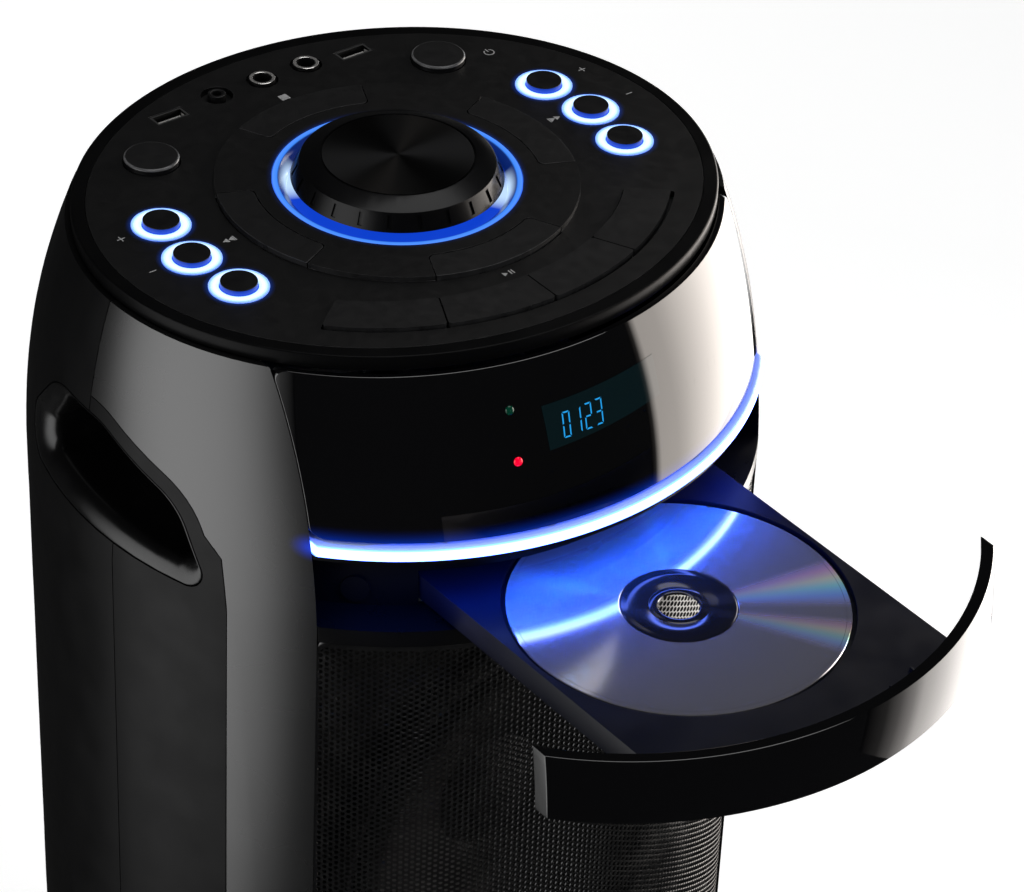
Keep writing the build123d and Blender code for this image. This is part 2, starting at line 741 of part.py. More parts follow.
volume_encoder -= disk(0, 0, knob_shaft_r + shaft_fit, board_top + encoder_floor, encoder_top)
glow_out_r = knob_well_r - panel_gap
glow_profile = Polygon(
    (glow_in_r, panel_under), (glow_out_r, panel_under), (glow_out_r, deck_z - panel_gap),
    (glow_out_r - glow_land, deck_z - panel_gap), (glow_in_r, panel_z - glow_drop), align=None)
knob_light_ring = revolve(Plane.XZ * glow_profile, Axis.Z)
knob_light_ring += disk(0, 0, glow_out_r, panel_under - glow_t, panel_under)
knob_light_ring -= disk(0, 0, glow_floor_r, panel_under - glow_t, panel_under)
skirt_ring = disk(0, 0, glow_out_r, board_top, panel_under)
knob_light_ring += skirt_ring - disk(0, 0, glow_out_r - glow_t, board_top, panel_under)

# ---- display window, light bar ----
insert_w = insert_half_w - insert_gap
window_prism = front_prism(insert_w, z_at(window_bottom_level), z_at(window_top_level), window_corner_r)
display_window = (outer - body_form(window_t)) & window_prism
display_module = slab(display_half_w, -reach, 0, z_at(display_bottom_level), z_at(display_top_level))
display_module = (display_module & body_form(window_t + seam)) - body_form(window_t + display_t)
bar_z0 = z_at(bar_bottom_level)
bar_z1 = z_at(bar_top_level)
light_bar = oval_disk(bar_line_half_w + bar_proud, bar_line_half_d + bar_proud, bar_z0, bar_z1, -front_lean)
light_bar = fillet(light_bar.edges(), bar_edge_r)
light_bar -= oval_disk(bar_line_half_w - bar_depth, bar_line_half_d - bar_depth, bar_z0, bar_z1, -front_lean)
light_bar &= block(-insert_w, insert_w, -reach, -wall, bar_z0, bar_z1)

# ---- tray recess ----
recess_back = body_form(recess_depth)
recess_ceiling = z_at(recess_top_level)
recess_floor = z_at(recess_floor_level)
surround_top = bar_z0 - seam
surround_bottom = z_at(band_bottom_level)
tray_surround = (outer - body_form(recess_depth + recess_t)) & block(
    -insert_w, insert_w, -reach, -wall, surround_bottom, surround_top)
tray_surround -= block(-reach, reach, -reach, 0, recess_floor, recess_ceiling) - recess_back
tray_surround -= body_form(recess_t) & block(
    -reach, reach, -reach, 0, surround_bottom - 1, recess_floor - recess_t)
slot_half_w = tray_half_w + slot_gap
slot_top = z_at(tray_top_level) + rib_h + slot_gap
tray_surround -= slab(slot_half_w, -reach, 0, recess_floor, slot_top)
back_half_w = body_half_w - recess_depth
back_half_d = body_half_d - recess_depth
boss_y = -back_half_d * sqrt(1 - (guide_boss_x / back_half_w) ** 2)
boss_turn = degrees(atan2(guide_boss_x / back_half_w ** 2, -boss_y / back_half_d ** 2))
for side in (-1, 1):
    boss = Rot(0, 0, side * boss_turn) * Rot(90, 0, 0) * Cylinder(guide_boss_r, 2 * recess_t)
    boss = Pos(side * guide_boss_x, boss_y - front_lean, z_at(guide_boss_level)) * boss
    tray_surround += (boss & body_form(recess_depth - guide_boss_h)) - body_form(recess_depth + recess_t)

# ---- disc tray ----
tray_top = z_at(tray_top_level)
tray_bottom = z_at(tray_bottom_level)
disc_floor = tray_top - disc_well_depth
bezel_z0 = z_at(bezel_bottom_level)
bezel_z1 = z_at(bezel_top_level)
bezel_place = Location((0, -tray_travel, 0))
tray_bezel = (outer - body_form(bezel_t)) & slab(bezel_half_w, -reach, -wall, bezel_z0, bezel_z1)
tray_bezel = tray_bezel.moved(bezel_place)
bezel_inside = body_form(bezel_t).moved(bezel_place)
tray_front_y = -tray_travel - body_half_d - 2 * front_lean
disc_tray = block(-tray_half_w, tray_half_w, tray_front_y, tray_rear_y, tray_bottom, tray_top) & bezel_inside
disc_tray -= block(-tray_half_w + tray_wall, tray_half_w - tray_wall, tray_front_y + 16, tray_rear_y + 1,
                   tray_bottom - 1, disc_floor - small_well_depth - tray_skin)
disc_tray -= disk(0, disc_y, disc_well_r, disc_floor, tray_top + 1)
disc_tray -= disk(0, disc_y, small_well_r, disc_floor - small_well_depth, tray_top)
disc_tray -= block(-hub_slot_half_w, hub_slot_half_w, disc_y, tray_rear_y - 12, tray_bottom - 1, tray_top + 1)
disc_tray -= disk(0, disc_y, hub_slot_half_w, tray_bottom - 1, tray_top + 1)
for i in range(rib_count):
    x = rib_x + (i - (rib_count - 1) / 2) * rib_pitch
    rib_y = -tray_travel - (bar_line_half_d - bezel_t) * sqrt(1 - (x / (bar_line_half_w - bezel_t)) ** 2)
    rib = block(x - rib_t / 2, x + rib_t / 2, rib_y - 5, rib_y + rib_len, tray_top, tray_top + rib_h)
    disc_tray += rib & bezel_inside

# ---- rack under the tray and its gear: straight-flanked teeth, the gear stands under the +X side ----
pitch = pi * rack_module
pitch_r = rack_module * gear_teeth / 2
addendum = 0.8 * rack_module
dedendum = 1.1 * rack_module
flank = tan(radians(20))
tooth_half = pitch / 4 - tooth_fit


def tooth_points(tip, root):
    """Half widths of a tooth at its tip and root, and the two heights."""
    return tooth_half - tip * flank, tooth_half + root * flank


rack_x = gear_x + pitch_r
rack_z0 = tray_bottom
rack_z1 = disc_floor - small_well_depth - tray_skin
tip_half, root_half = tooth_points(addendum, dedendum)
rack_ahead = int((tray_travel + rack_spare) / pitch)
rack_behind = int((tray_rear_y - gear_y) / pitch - 0.5)
rack_front_y = gear_y - (rack_ahead + 0.5) * pitch
rack_root_x = rack_x + dedendum
rack_body = block(rack_root_x, rack_root_x + rack_back, rack_front_y, tray_rear_y, rack_z0, rack_z1)
for i in range(-rack_ahead, rack_behind):
    y = gear_y + (i + 0.5) * pitch
    tooth = Polygon((rack_x - addendum, y - tip_half), (rack_root_x, y - root_half),
                    (rack_root_x + tooth_root, y - root_half), (rack_root_x + tooth_root, y + root_half),
                    (rack_root_x, y + root_half), (rack_x - addendum, y + tip_half), align=None)
    rack_body += extrude(Pos(0, 0, rack_z0) * tooth, amount=rack_z1 - rack_z0)
disc_tray += rack_body

gear_z1 = rack_z1 - 0.6
gear_z0 = gear_z1 - gear_h
tray_gear = disk(gear_x, gear_y, pitch_r - dedendum, gear_z0, gear_z1)
gear_root_r = pitch_r - dedendum
gear_tooth = Polygon((gear_root_r - tooth_root, -root_half), (gear_root_r, -root_half),
                     (pitch_r + addendum, -tip_half), (pitch_r + addendum, tip_half),
                     (gear_root_r, root_half), (gear_root_r - tooth_root, root_half), align=None)
for i in range(gear_teeth):
    tray_gear += Pos(gear_x, gear_y, gear_z0) * Rot(0, 0, i * 360 / gear_teeth) * extrude(
        gear_tooth, amount=gear_z1 - gear_z0)
tray_gear -= disk(gear_x, gear_y, gear_shaft_r + shaft_fit, gear_z0, gear_z1)

compact_disc = disk(0, disc_y, disc_r, disc_floor + play, disc_floor + play + disc_t)
compact_disc -= disk(0, disc_y, disc_hole_r, disc_floor, tray_top + 1)

# ---- loader chassis ----
chassis_top = z_at(chassis_floor_level)
chassis_bottom = chassis_top - chassis_t
rail_in = tray_half_w + play
rail_out = rail_in + chassis_t
rail_top = z_at(bridge_level + bridge_t)
chassis = block(-rail_out, rail_out, -reach, chassis_rear_y, chassis_bottom, rail_top)
chassis -= block(-rail_in, rail_in, -reach, chassis_rear_y, chassis_top, rail_top)
for side in (-1, 1):
    runner_x = side * (tray_half_w - tray_wall / 2)
    chassis += block(runner_x - runner_w / 2, runner_x + runner_w / 2, -reach, chassis_rear_y,
                     chassis_top, tray_bottom - play)
chassis &= body_form(recess_depth + recess_t + seam)
arms = block(-rail_out, -rail_out + 12, chassis_rear_y, reach, chassis_bottom, chassis_top)
arms = (arms & body_form(wall + seam))
chassis += arms + mirror(arms, about=Plane.YZ)
chassis -= disk(0, spindle_y, turntable_r + 1, chassis_bottom - 1, chassis_top + 1)
pickup_front_y = rod_front_y + hanger_t + hanger_gap
rod_rear_y = pickup_front_y + pickup_len + pickup_travel + 3 * hanger_gap + hanger_t
cut_half_w = pickup_w / 2 + 3 * hanger_gap
chassis -= slab(cut_half_w, rod_front_y + hanger_t, rod_rear_y - hanger_t, chassis_bottom, chassis_top)
rod_z = z_at(rod_level)
for y in (rod_front_y, rod_rear_y - hanger_t):
    chassis += slab(cut_half_w, y, y + hanger_t, rod_z - rod_r - hanger_wall, chassis_bottom)
for side in (-1, 1):
    chassis -= rod_y(side * rod_x, rod_z, rod_r + shaft_fit, rod_front_y - 1, rod_rear_y + 1)
chassis -= disk(gear_x, gear_y, gear_shaft_r + 1, chassis_bottom - 1, chassis_top + 1)
loader_chassis = chassis
sled_rods = group(rod_y(side * rod_x, rod_z, rod_r, rod_front_y, rod_rear_y) for side in (-1, 1))

turntable_top = z_at(turntable_top_level)
turntable = disk(0, spindle_y, turntable_r, turntable_top - turntable_h, turntable_top)
turntable -= disk(0, spindle_y, spindle_r + shaft_fit, turntable_top - turntable_h, turntable_top)
motor_top = chassis_bottom
spindle_motor = block(-17, 17, spindle_y - 17, spindle_y + 12.7, motor_top - 1.5, motor_top)
spindle_motor += disk(0, spindle_y, motor_r, motor_top - 1.5 - motor_h, motor_top - 1.5)
spindle_motor += disk(0, spindle_y, spindle_r, motor_top - 1.5, turntable_top - 0.5)
tray_motor = disk(gear_x, gear_y, tray_motor_r, chassis_bottom - tray_motor_h, chassis_bottom)
tray_motor += disk(gear_x, gear_y, gear_shaft_r, chassis_bottom, gear_z1 - 0.5)

pickup_top = chassis_top - 1
pickup_rear_y = pickup_front_y + pickup_len
optical_pickup = slab(pickup_w / 2, pickup_front_y, pickup_rear_y, rod_z - pickup_under, pickup_top)
optical_pickup += disk(0, pickup_front_y + 2 * lens_r, lens_r, pickup_top, pickup_top + lens_rise)
for side in (-1, 1):
    optical_pickup -= rod_y(side * rod_x, rod_z, rod_r + shaft_fit, pickup_front_y, pickup_rear_y)

bridge_z0 = z_at(bridge_level + bridge_t)
bridge_z1 = z_at(bridge_level)
clamper_bridge = post(0, spindle_y, rail_out, bridge_len / 2, bridge_z0, bridge_z1)
clamper_bridge -= disk(0, spindle_y, clamp_hub_r + play, bridge_z0, bridge_z1)
disc_clamper = disk(0, spindle_y, clamp_r, bridge_z0 - play - clamp_t, bridge_z0 - play)
disc_clamper += disk(0, spindle_y, clamp_hub_r, bridge_z0 - play, bridge_z1 + play)
disc_clamper += disk(0, spindle_y, clamp_cap_r, bridge_z1 + play, bridge_z1 + play + clamp_t)

# ---- speakers ----
baffle_back = baffle_y + baffle_t
baffle_half_w = insert_half_w - insert_gap - grille_t - seam
baffle = block(-baffle_half_w, baffle_half_w, baffle_y, baffle_back, wall, chassis_bottom)
baffle &= body_form(2 * (wall + seam))


def turned(profile, z):
    """Solid turned about a horizontal axis along Y at a height, from (radius, y) points."""
    face = Plane.XY * Polygon(*profile, align=None)
    return Pos(0, 0, z) * revolve(face, Axis.Y)


flange_y = baffle_y - woofer_flange_t
cone_rim_y = flange_y - 2
cone_back_y = cone_rim_y + cone_depth
cap_y = cone_back_y - cap_rise
coil_end_y = cone_back_y + coil_len
basket_back_y = coil_end_y + cone_travel + coil_gap
magnet_back_y = basket_back_y + magnet_h
roll_in = cone_r + play
cones = []
baskets = []
rolls = []
trims = []
for level in woofer_levels:
    z = z_at(level)
    baffle -= rod_y(0, z, woofer_hole_r, baffle_y, baffle_back)
    baskets.append(turned([
        (cone_r + roll_r / 2, flange_y), (woofer_flange_r, flange_y), (woofer_flange_r, baffle_y),
        (woofer_hole_r - play, baffle_y), (magnet_r, basket_back_y), (magnet_r, magnet_back_y),
        (0, magnet_back_y), (0, basket_back_y), (magnet_r - basket_t, basket_back_y - basket_t / 2),
    ], z))
    rolls.append(turned([
        (roll_in, flange_y - 2), (roll_in + roll_r / 2, flange_y - roll_r),
        (roll_in + 1.5 * roll_r, flange_y - roll_r), (roll_in + 2 * roll_r, flange_y), (roll_in, flange_y),
    ], z))
    ring = rod_y(0, z, trim_ring_r, baffle_y - trim_ring_h, baffle_y)
    trims.append(ring - rod_y(0, z, trim_ring_in_r, baffle_y - trim_ring_h, baffle_y))
    cones.append(turned([
        (0, cap_y - cap_dome), (cap_r / 2, cap_y - 0.75 * cap_dome), (cap_r, cap_y), (cone_r, cone_rim_y),
        (cone_r, cone_rim_y + cone_t), (coil_r, cone_back_y), (coil_r, coil_end_y),
        (coil_r - cone_t, coil_end_y), (coil_r - cone_t, cap_y), (0, cap_y - cap_dome + cone_t),
    ], z))
woofer_baskets = group(baskets)
woofer_surrounds = group(rolls)
woofer_trim_rings = group(trims)

grille_z0 = grille_bottom_z + insert_gap
grille_z1 = z_at(grille_top_level)
grille_prism = front_prism(insert_w, grille_z0, grille_z1, grille_corner_r)
core_r = grille_corner_r - grille_t
grille_core = front_prism(insert_w - grille_t, grille_z0 + grille_t, grille_z1 - grille_t, core_r)
grille_front = body_form(grille_inset)
grille_face = (grille_front - body_form(grille_inset + grille_t)) & grille_prism
grille_edge = (grille_front - body_form(grille_inset + grille_return)) & (grille_prism - grille_core)
column_pitch = 2 * (insert_w - grille_border) / grille_columns
row_pitch = (grille_z1 - grille_z0 - 2 * grille_border) / grille_rows
opening_half_w = (column_pitch - grille_bar) / 2
opening_half_h = (row_pitch - grille_bar) / 2
openings = []
for i in range(grille_columns):
    x = (i + 0.5) * column_pitch - insert_w + grille_border
    for j in range(grille_rows):
        z = (j + 0.5) * row_pitch + grille_z0 + grille_border
        openings.append(block(x - opening_half_w, x + opening_half_w, -reach, -wall,
                              z - opening_half_h, z + opening_half_h))
speaker_grille = (grille_face - openings) + grille_edge

# ---- power section ----
battery_y0 = baffle_back + battery_gap
battery_y1 = battery_y0 + battery_d
battery_pack = slab(battery_w / 2, battery_y0, battery_y1, wall, wall + battery_h)
power_y = battery_y1 + power_gap + power_board_d / 2
standoff_top = wall + standoff_h
power_top = standoff_top + board_t
power_board = post(0, power_y, power_board_w / 2, power_board_d / 2, standoff_top, power_top)
standoff_x = power_board_w / 2 - 2 * standoff_r
standoff_y = power_board_d / 2 - 2 * standoff_r
for x in (-standoff_x, standoff_x):
    for y in (power_y - standoff_y, power_y + standoff_y):
        power_board += disk(x, y, standoff_r, wall, standoff_top)
component_x = power_board_w / 4
transformer_half = transformer_w / 2
transformer_top = power_top + transformer_h
power_board += post(-component_x, power_y, transformer_half, transformer_half, power_top, transformer_top)
power_board += post(component_x, power_y, heat_sink_w / 2, heat_sink_t / 2, power_top, power_top + heat_sink_h)

# ---- output ----
parts = {
    "base": base,
    "rubber_feet": rubber_feet,
    "front_shell": front_shell,
    "rear_shell": rear_shell,
    "side_panels": side_panels,
    "handle_cups": handle_cups,
    "top_bezel_ring": bezel_ring,
    "top_panel": top_panel,
    "knob_light_ring": knob_light_ring,
    "button_light_rings": group(light_rings),
    "display_window": display_window,
    "display_module": display_module,
    "light_bar": light_bar,
    "tray_surround": tray_surround,
    "speaker_grille": speaker_grille,
    "baffle": baffle,
    "woofer_baskets": woofer_baskets,
    "woofer_surrounds": woofer_surrounds,
    "woofer_trim_rings": woofer_trim_rings,
    "upper_woofer_cone": cones[0],
    "lower_woofer_cone": cones[1],
    "usb_ports": usb_ports,
    "jack_sockets": jack_sockets,
    "control_board": control_board,
    "volume_encoder": volume_encoder,
    "volume_knob": volume_knob,
    "power_board": power_board,
    "battery_pack": battery_pack,
    "service_panel": service_panel,
    "panel_screws": group(panel_screws),
    "mains_inlet": mains_inlet,
    "rocker_switch": rocker_switch,
    "loader_chassis": loader_chassis,
    "clamper_bridge": clamper_bridge,
    "disc_clamper": disc_clamper,
    "spindle_motor": spindle_motor,
    "turntable": turntable,
    "sled_rods": sled_rods,
    "optical_pickup": optical_pickup,
    "tray_motor": tray_motor,
    "tray_gear": tray_gear,
    "disc_tray": disc_tray,
    "tray_bezel": tray_bezel,
    "compact_disc": compact_disc,
}
parts.update(buttons)
for name, shape in parts.items():
    save(name, shape)
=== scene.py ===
import json
from math import asin, cos, hypot, pi, prod, radians, sin, sqrt, tan

import bmesh
import bpy
from mathutils import Matrix, Vector

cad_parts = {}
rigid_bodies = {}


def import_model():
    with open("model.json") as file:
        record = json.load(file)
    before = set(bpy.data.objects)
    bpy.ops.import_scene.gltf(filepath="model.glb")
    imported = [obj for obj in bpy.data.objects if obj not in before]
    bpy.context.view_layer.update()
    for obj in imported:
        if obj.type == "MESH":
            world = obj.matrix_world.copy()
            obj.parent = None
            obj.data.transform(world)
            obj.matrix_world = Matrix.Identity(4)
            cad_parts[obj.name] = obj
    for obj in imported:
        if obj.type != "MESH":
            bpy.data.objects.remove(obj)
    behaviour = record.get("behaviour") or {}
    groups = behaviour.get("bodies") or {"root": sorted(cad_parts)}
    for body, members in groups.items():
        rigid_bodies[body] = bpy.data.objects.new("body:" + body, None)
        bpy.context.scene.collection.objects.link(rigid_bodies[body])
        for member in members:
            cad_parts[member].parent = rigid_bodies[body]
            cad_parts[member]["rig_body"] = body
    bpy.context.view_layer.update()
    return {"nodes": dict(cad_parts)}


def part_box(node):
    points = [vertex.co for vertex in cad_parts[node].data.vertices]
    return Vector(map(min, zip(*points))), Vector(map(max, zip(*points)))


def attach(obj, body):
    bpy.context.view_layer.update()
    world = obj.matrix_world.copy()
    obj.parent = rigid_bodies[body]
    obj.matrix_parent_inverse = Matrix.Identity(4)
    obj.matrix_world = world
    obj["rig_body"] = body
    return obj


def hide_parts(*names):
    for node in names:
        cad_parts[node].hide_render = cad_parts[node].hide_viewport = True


# A karaoke tower with a round control panel, glowing rings, a display window, a perforated grille and a
# disc tray that stands open. Everything is in metres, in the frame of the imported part.

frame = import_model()
nodes = frame["nodes"]
scene = bpy.context.scene

MM = 0.001
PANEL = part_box("top_bezel_ring")[1].z  # height of the control panel
BAR_LOW, BAR_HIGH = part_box("light_bar")
BAR_Z = (BAR_LOW.z + BAR_HIGH.z) / 2
TRAY_OUT = 0.126  # how far the tray stands out of its closed place
FLOOR_Z = -0.006  # underside of the feet


# ---------------- nodes of the materials
class Nodes:
    """A node tree with short calls that add to it."""

    def __init__(self, owner, clear=False):
        owner.use_nodes = True
        self.tree = owner.node_tree
        if clear:
            self.tree.nodes.clear()

    def add(self, kind, **settings):
        node = self.tree.nodes.new(kind)
        for key, value in settings.items():
            setattr(node, key, value)
        return node

    def link(self, a, b):
        self.tree.links.new(a, b)

    def feed(self, socket, value):
        """Links an output to a socket, or sets the socket to a number or a colour."""
        if isinstance(value, bpy.types.NodeSocket):
            self.link(value, socket)
        else:
            socket.default_value = (*value, 1.0) if isinstance(value, tuple) else value

    def math(self, kind, a, b=0.0):
        node = self.add("ShaderNodeMath", operation=kind)
        self.feed(node.inputs[0], a)
        self.feed(node.inputs[1], b)
        return node.outputs[0]

    def plus(self, a, b):
        return self.math("ADD", a, b)

    def minus(self, a, b):
        return self.math("SUBTRACT", a, b)

    def times(self, value, *others):
        for other in others:
            value = self.math("MULTIPLY", value, other)
        return value

    def length(self, x, y):
        return self.math("SQRT", self.plus(self.times(x, x), self.times(y, y)))

    def spread(self, value, low, high, out_low=0.0, out_high=1.0):
        node = self.add("ShaderNodeMapRange")
        self.link(value, node.inputs["Value"])
        for key, number in (("From Min", low), ("From Max", high), ("To Min", out_low), ("To Max", out_high)):
            node.inputs[key].default_value = number
        return node.outputs["Result"]

    def ramp(self, value, stops):
        """Colour ramp through (place, colour) stops. Each stop is made at its place, because they sort themselves."""
        node = self.add("ShaderNodeValToRGB")
        self.link(value, node.inputs["Fac"])
        band = node.color_ramp.elements
        for element, (at, colour) in zip(band, (stops[0], stops[-1])):
            element.position = at
            element.color = (*colour, 1)
        for at, colour in stops[1:-1]:
            band.new(at).color = (*colour, 1)
        return node.outputs["Color"]

    def mix(self, value, a, b, blend="MIX"):
        node = self.add("ShaderNodeMix", data_type="RGBA", blend_type=blend)
        for socket, item in ((node.inputs["Factor"], value), (node.inputs[6], a), (node.inputs[7], b)):
            self.feed(socket, item)
        return node.outputs[2]

    def parts(self, vector):
        node = self.add("ShaderNodeSeparateXYZ")
        self.link(vector, node.inputs[0])
        return node.outputs["X"], node.outputs["Y"], node.outputs["Z"]


class Shader(Nodes):
    """A Principled material with short calls that add its procedural detail."""

    def __init__(self, name, colour, rough, metallic=0.0, specular=0.5):
        self.mat = bpy.data.materials.new(name)
        super().__init__(self.mat)
        self.bsdf = self.tree.nodes["Principled BSDF"]
        self.colour = colour
        self.rough = rough
        self.mat.diffuse_color = (*colour, 1.0)
        for key, value in (("Base Color", colour), ("Roughness", rough), ("Metallic", metallic),
                           ("Specular IOR Level", specular)):
            self.feed(self.bsdf.inputs[key], value)
        self.place = self.add("ShaderNodeTexCoord").outputs["Object"]
        self.height = None

    def noise(self, scale, detail=4.0, rough=0.5, stretch=None, vector=None):
        node = self.add("ShaderNodeTexNoise")
        node.inputs["Scale"].default_value = scale
        node.inputs["Detail"].default_value = detail
        node.inputs["Roughness"].default_value = rough
        if stretch:
            scaled = self.add("ShaderNodeMapping")
            self.link(self.place, scaled.inputs["Vector"])
            scaled.inputs["Scale"].default_value = stretch
            vector = scaled.outputs["Vector"]
        self.link(vector or self.place, node.inputs["Vector"])
        return node.outputs["Fac"]

    def separate(self):
        return self.parts(self.place)

    def normal(self):
        return self.parts(self.add("ShaderNodeNewGeometry").outputs["Normal"])

    def mottle(self, scale, amount):
        """Base colour that wanders a little from place to place."""
        dark, light = (tuple(c * k for c in self.colour) for k in (1 - amount, 1 + amount))
        value = self.spread(self.noise(scale, 5.0), 0.3, 0.7)
        self.link(self.mix(value, dark, light), self.bsdf.inputs["Base Color"])
        return self

    def uneven(self, scale, amount, stretch=None):
        """Roughness that wanders, as handling and moulding leave it."""
        value = self.noise(scale, 4.0, stretch=stretch)
        self.link(self.spread(value, 0.3, 0.7, self.rough - amount, self.rough + amount),
                  self.bsdf.inputs["Roughness"])
        return self

    def polished_edges_with_painted_highlight(self):
        """Satin on level faces, glossy along the edges, with a painted highlight that makes the upward edges paler.
        It follows mottle.
        """
        wear_and_highlight = self.noise(250, 3.0)
        satin = self.spread(wear_and_highlight, 0.3, 0.7, 0.38, 0.46)
        up = self.normal()[2]
        edge = self.spread(up, 0.995, 0.93)
        self.link(self.plus(self.times(satin, self.minus(1.0, edge)), self.times(edge, 0.16)),
                  self.bsdf.inputs["Roughness"])
        # painted highlight: a pale colour on the rounded edges that face upward, broken up by the noise
        line = self.times(edge, self.spread(up, 0.1, 0.5), self.spread(wear_and_highlight, 0.25, 0.6, 0.35, 1.0))
        base = self.bsdf.inputs["Base Color"]
        self.link(self.mix(line, base.links[0].from_socket, (0.13, 0.13, 0.133)), base)
        return self

    def bump(self, value, distance, strength=1.0):
        node = self.add("ShaderNodeBump")
        node.inputs["Distance"].default_value = distance
        node.inputs["Strength"].default_value = strength
        self.link(value, node.inputs["Height"])
        if self.height is not None:
            self.link(self.height, node.inputs["Normal"])
        self.height = node.outputs["Normal"]
        self.link(self.height, self.bsdf.inputs["Normal"])
        return self

    def grain(self, scale, distance, strength=0.5, stretch=None):
        return self.bump(self.noise(scale, 3.0, 0.6, stretch=stretch), distance, strength)

    def glow(self, colour, strength):
        self.feed(self.bsdf.inputs["Emission Color"], colour)
        self.feed(self.bsdf.inputs["Emission Strength"], strength)
        return self


# Plain finishes: colour, roughness, metallic, specular; mottle as (scale, amount); unevenness as (scale, amount);
# grain as (scale, depth, strength). The last number of an unevenness or a grain may be its stretch.
BRUSHED = (1, 8, 1)
MOULDED = (25, 0.18), (60, 0.05)
FINISHES = {
    "satin_black": ((0.0034, 0.0034, 0.0037), 0.4, 0.0, 0.4, *MOULDED, (3200, 0.00004, 0.25)),
    "rim_black": ((0.0020, 0.0020, 0.0022), 0.36, 0.0, 0.08, *MOULDED, (2600, 0.00003, 0.25)),
    "tray_black": ((0.0018, 0.0026, 0.0070), 0.34, 0.0, 0.15, *MOULDED, (2600, 0.00003, 0.25)),
    "side_black": ((0.0017, 0.0017, 0.0019), 0.42, 0.0, 0.14, *MOULDED, (2600, 0.00005, 0.3)),
    "cup_black": ((0.0026, 0.0026, 0.0028), 0.24, 0.0, 0.5, *MOULDED, (1800, 0.00002, 0.2)),
    "recess_black": ((0.0014, 0.0014, 0.0016), 0.3, 0.0, 0.3, *MOULDED, (2600, 0.00003, 0.25)),
    "rubber_black": ((0.009, 0.009, 0.009), 0.75, 0.0, 0.3, (50, 0.3), None, (1500, 0.0001, 0.5)),
    "grille_paint": ((0.003, 0.003, 0.0033), 0.21, 0.0, 1.0, (60, 0.25), (80, 0.07), (2200, 0.00004, 0.3)),
    "black_board": ((0.006, 0.006, 0.006), 0.8, 0.0, 0.5, (35, 0.35), None, (700, 0.0003, 0.6, (1, 1, 0.3))),
    "paper_cone": ((0.008, 0.008, 0.0085), 0.62, 0.0, 0.5, (60, 0.3), None, (500, 0.0003, 0.6)),
    "battery_case": ((0.05, 0.05, 0.055), 0.5, 0.0, 0.5, (20, 0.2), None, (900, 0.0001, 0.4)),
    "white_plastic": ((0.62, 0.62, 0.6), 0.42, 0.0, 0.5, (30, 0.06), (50, 0.08), (1500, 0.00005, 0.3)),
    "white_ink": ((0.33, 0.33, 0.33), 0.5, 0.0, 0.5, (900, 0.15), None, (1200, 0.00002, 0.3)),
    "chrome": ((0.72, 0.7, 0.68), 0.16, 0.8, 0.5, (120, 0.06), (180, 0.05), (900, 0.00001, 0.2)),
    "steel_part": ((0.5, 0.5, 0.52), 0.35, 1.0, 0.5, (30, 0.08), (40, 0.08, BRUSHED), (400, 0.00003, 0.3, BRUSHED)),
}
MATERIALS = {}


def use(finish):
    """The material of a row of FINISHES, or the one that a function makes. Each is made once."""
    if finish not in MATERIALS:
        if callable(finish):
            MATERIALS[finish] = finish()
        else:
            *base, mottle, uneven, grain = FINISHES[finish]
            s = Shader(finish, *base).mottle(*mottle)
            if uneven:
                s.uneven(*uneven)
            MATERIALS[finish] = s.grain(*grain).mat
    return MATERIALS[finish]


def mirror_gloss():
    """Smoked gloss, with a painted blue glow along its lower edge that stands in for the light bar's spill."""
    s = Shader("smoked_gloss", (0.0014, 0.0014, 0.0018), 0.03, specular=1.0)
    s.mottle(9, 0.15).uneven(14, 0.012)
    # painted light: the window glows blue close to the bar
    near = s.spread(s.separate()[2], BAR_Z + 0.0095, BAR_Z + 0.0025)
    s.glow((0.0, 0.06, 0.8), s.times(s.math("POWER", near, 2.5), 0.5))
    return s.grain(22, 0.00003, 0.04).mat


def bezel_gloss():
    """Mirror gloss on the bezel's curved front, satin on its ends and its inner side."""
    s = Shader("bezel_gloss", (0.0016, 0.0016, 0.002), 0.03, specular=0.8).mottle(9, 0.15)
    x, y, z = s.separate()
    nx, ny, nz = s.normal()
    y = s.plus(y, TRAY_OUT)
    out = s.math("DIVIDE", s.plus(s.times(x, nx), s.times(y, ny)), s.length(x, y))
    gloss = s.math("MAXIMUM", s.spread(out, 0.75, 0.9), s.spread(nz, 0.2, 0.5))
    s.link(s.spread(gloss, 0.0, 1.0, 0.5, 0.03), s.bsdf.inputs["Roughness"])
    return s.grain(22, 0.00002, 0.04).mat


def shell_gloss():
    """Black gloss, with a painted blue glow round the bar's ends that stands in for the light bar's spill."""
    s = Shader("black_gloss", (0.002, 0.002, 0.0022), 0.27, specular=1.0)
    s.mottle(9, 0.15).uneven(14, 0.02)
    x, y, z = s.separate()
    # painted light: the shell glows blue close to the bar's ends
    beside = s.math("MAXIMUM", s.minus(s.math("ABSOLUTE", x), BAR_HIGH.x), 0.0)
    near = s.spread(s.length(beside, s.minus(z, BAR_Z)), 0.006, 0.001)
    s.glow((0.0, 0.05, 0.9), s.times(s.math("POWER", near, 2.0), 0.6))
    return s.grain(900, 0.00001, 0.1).mat


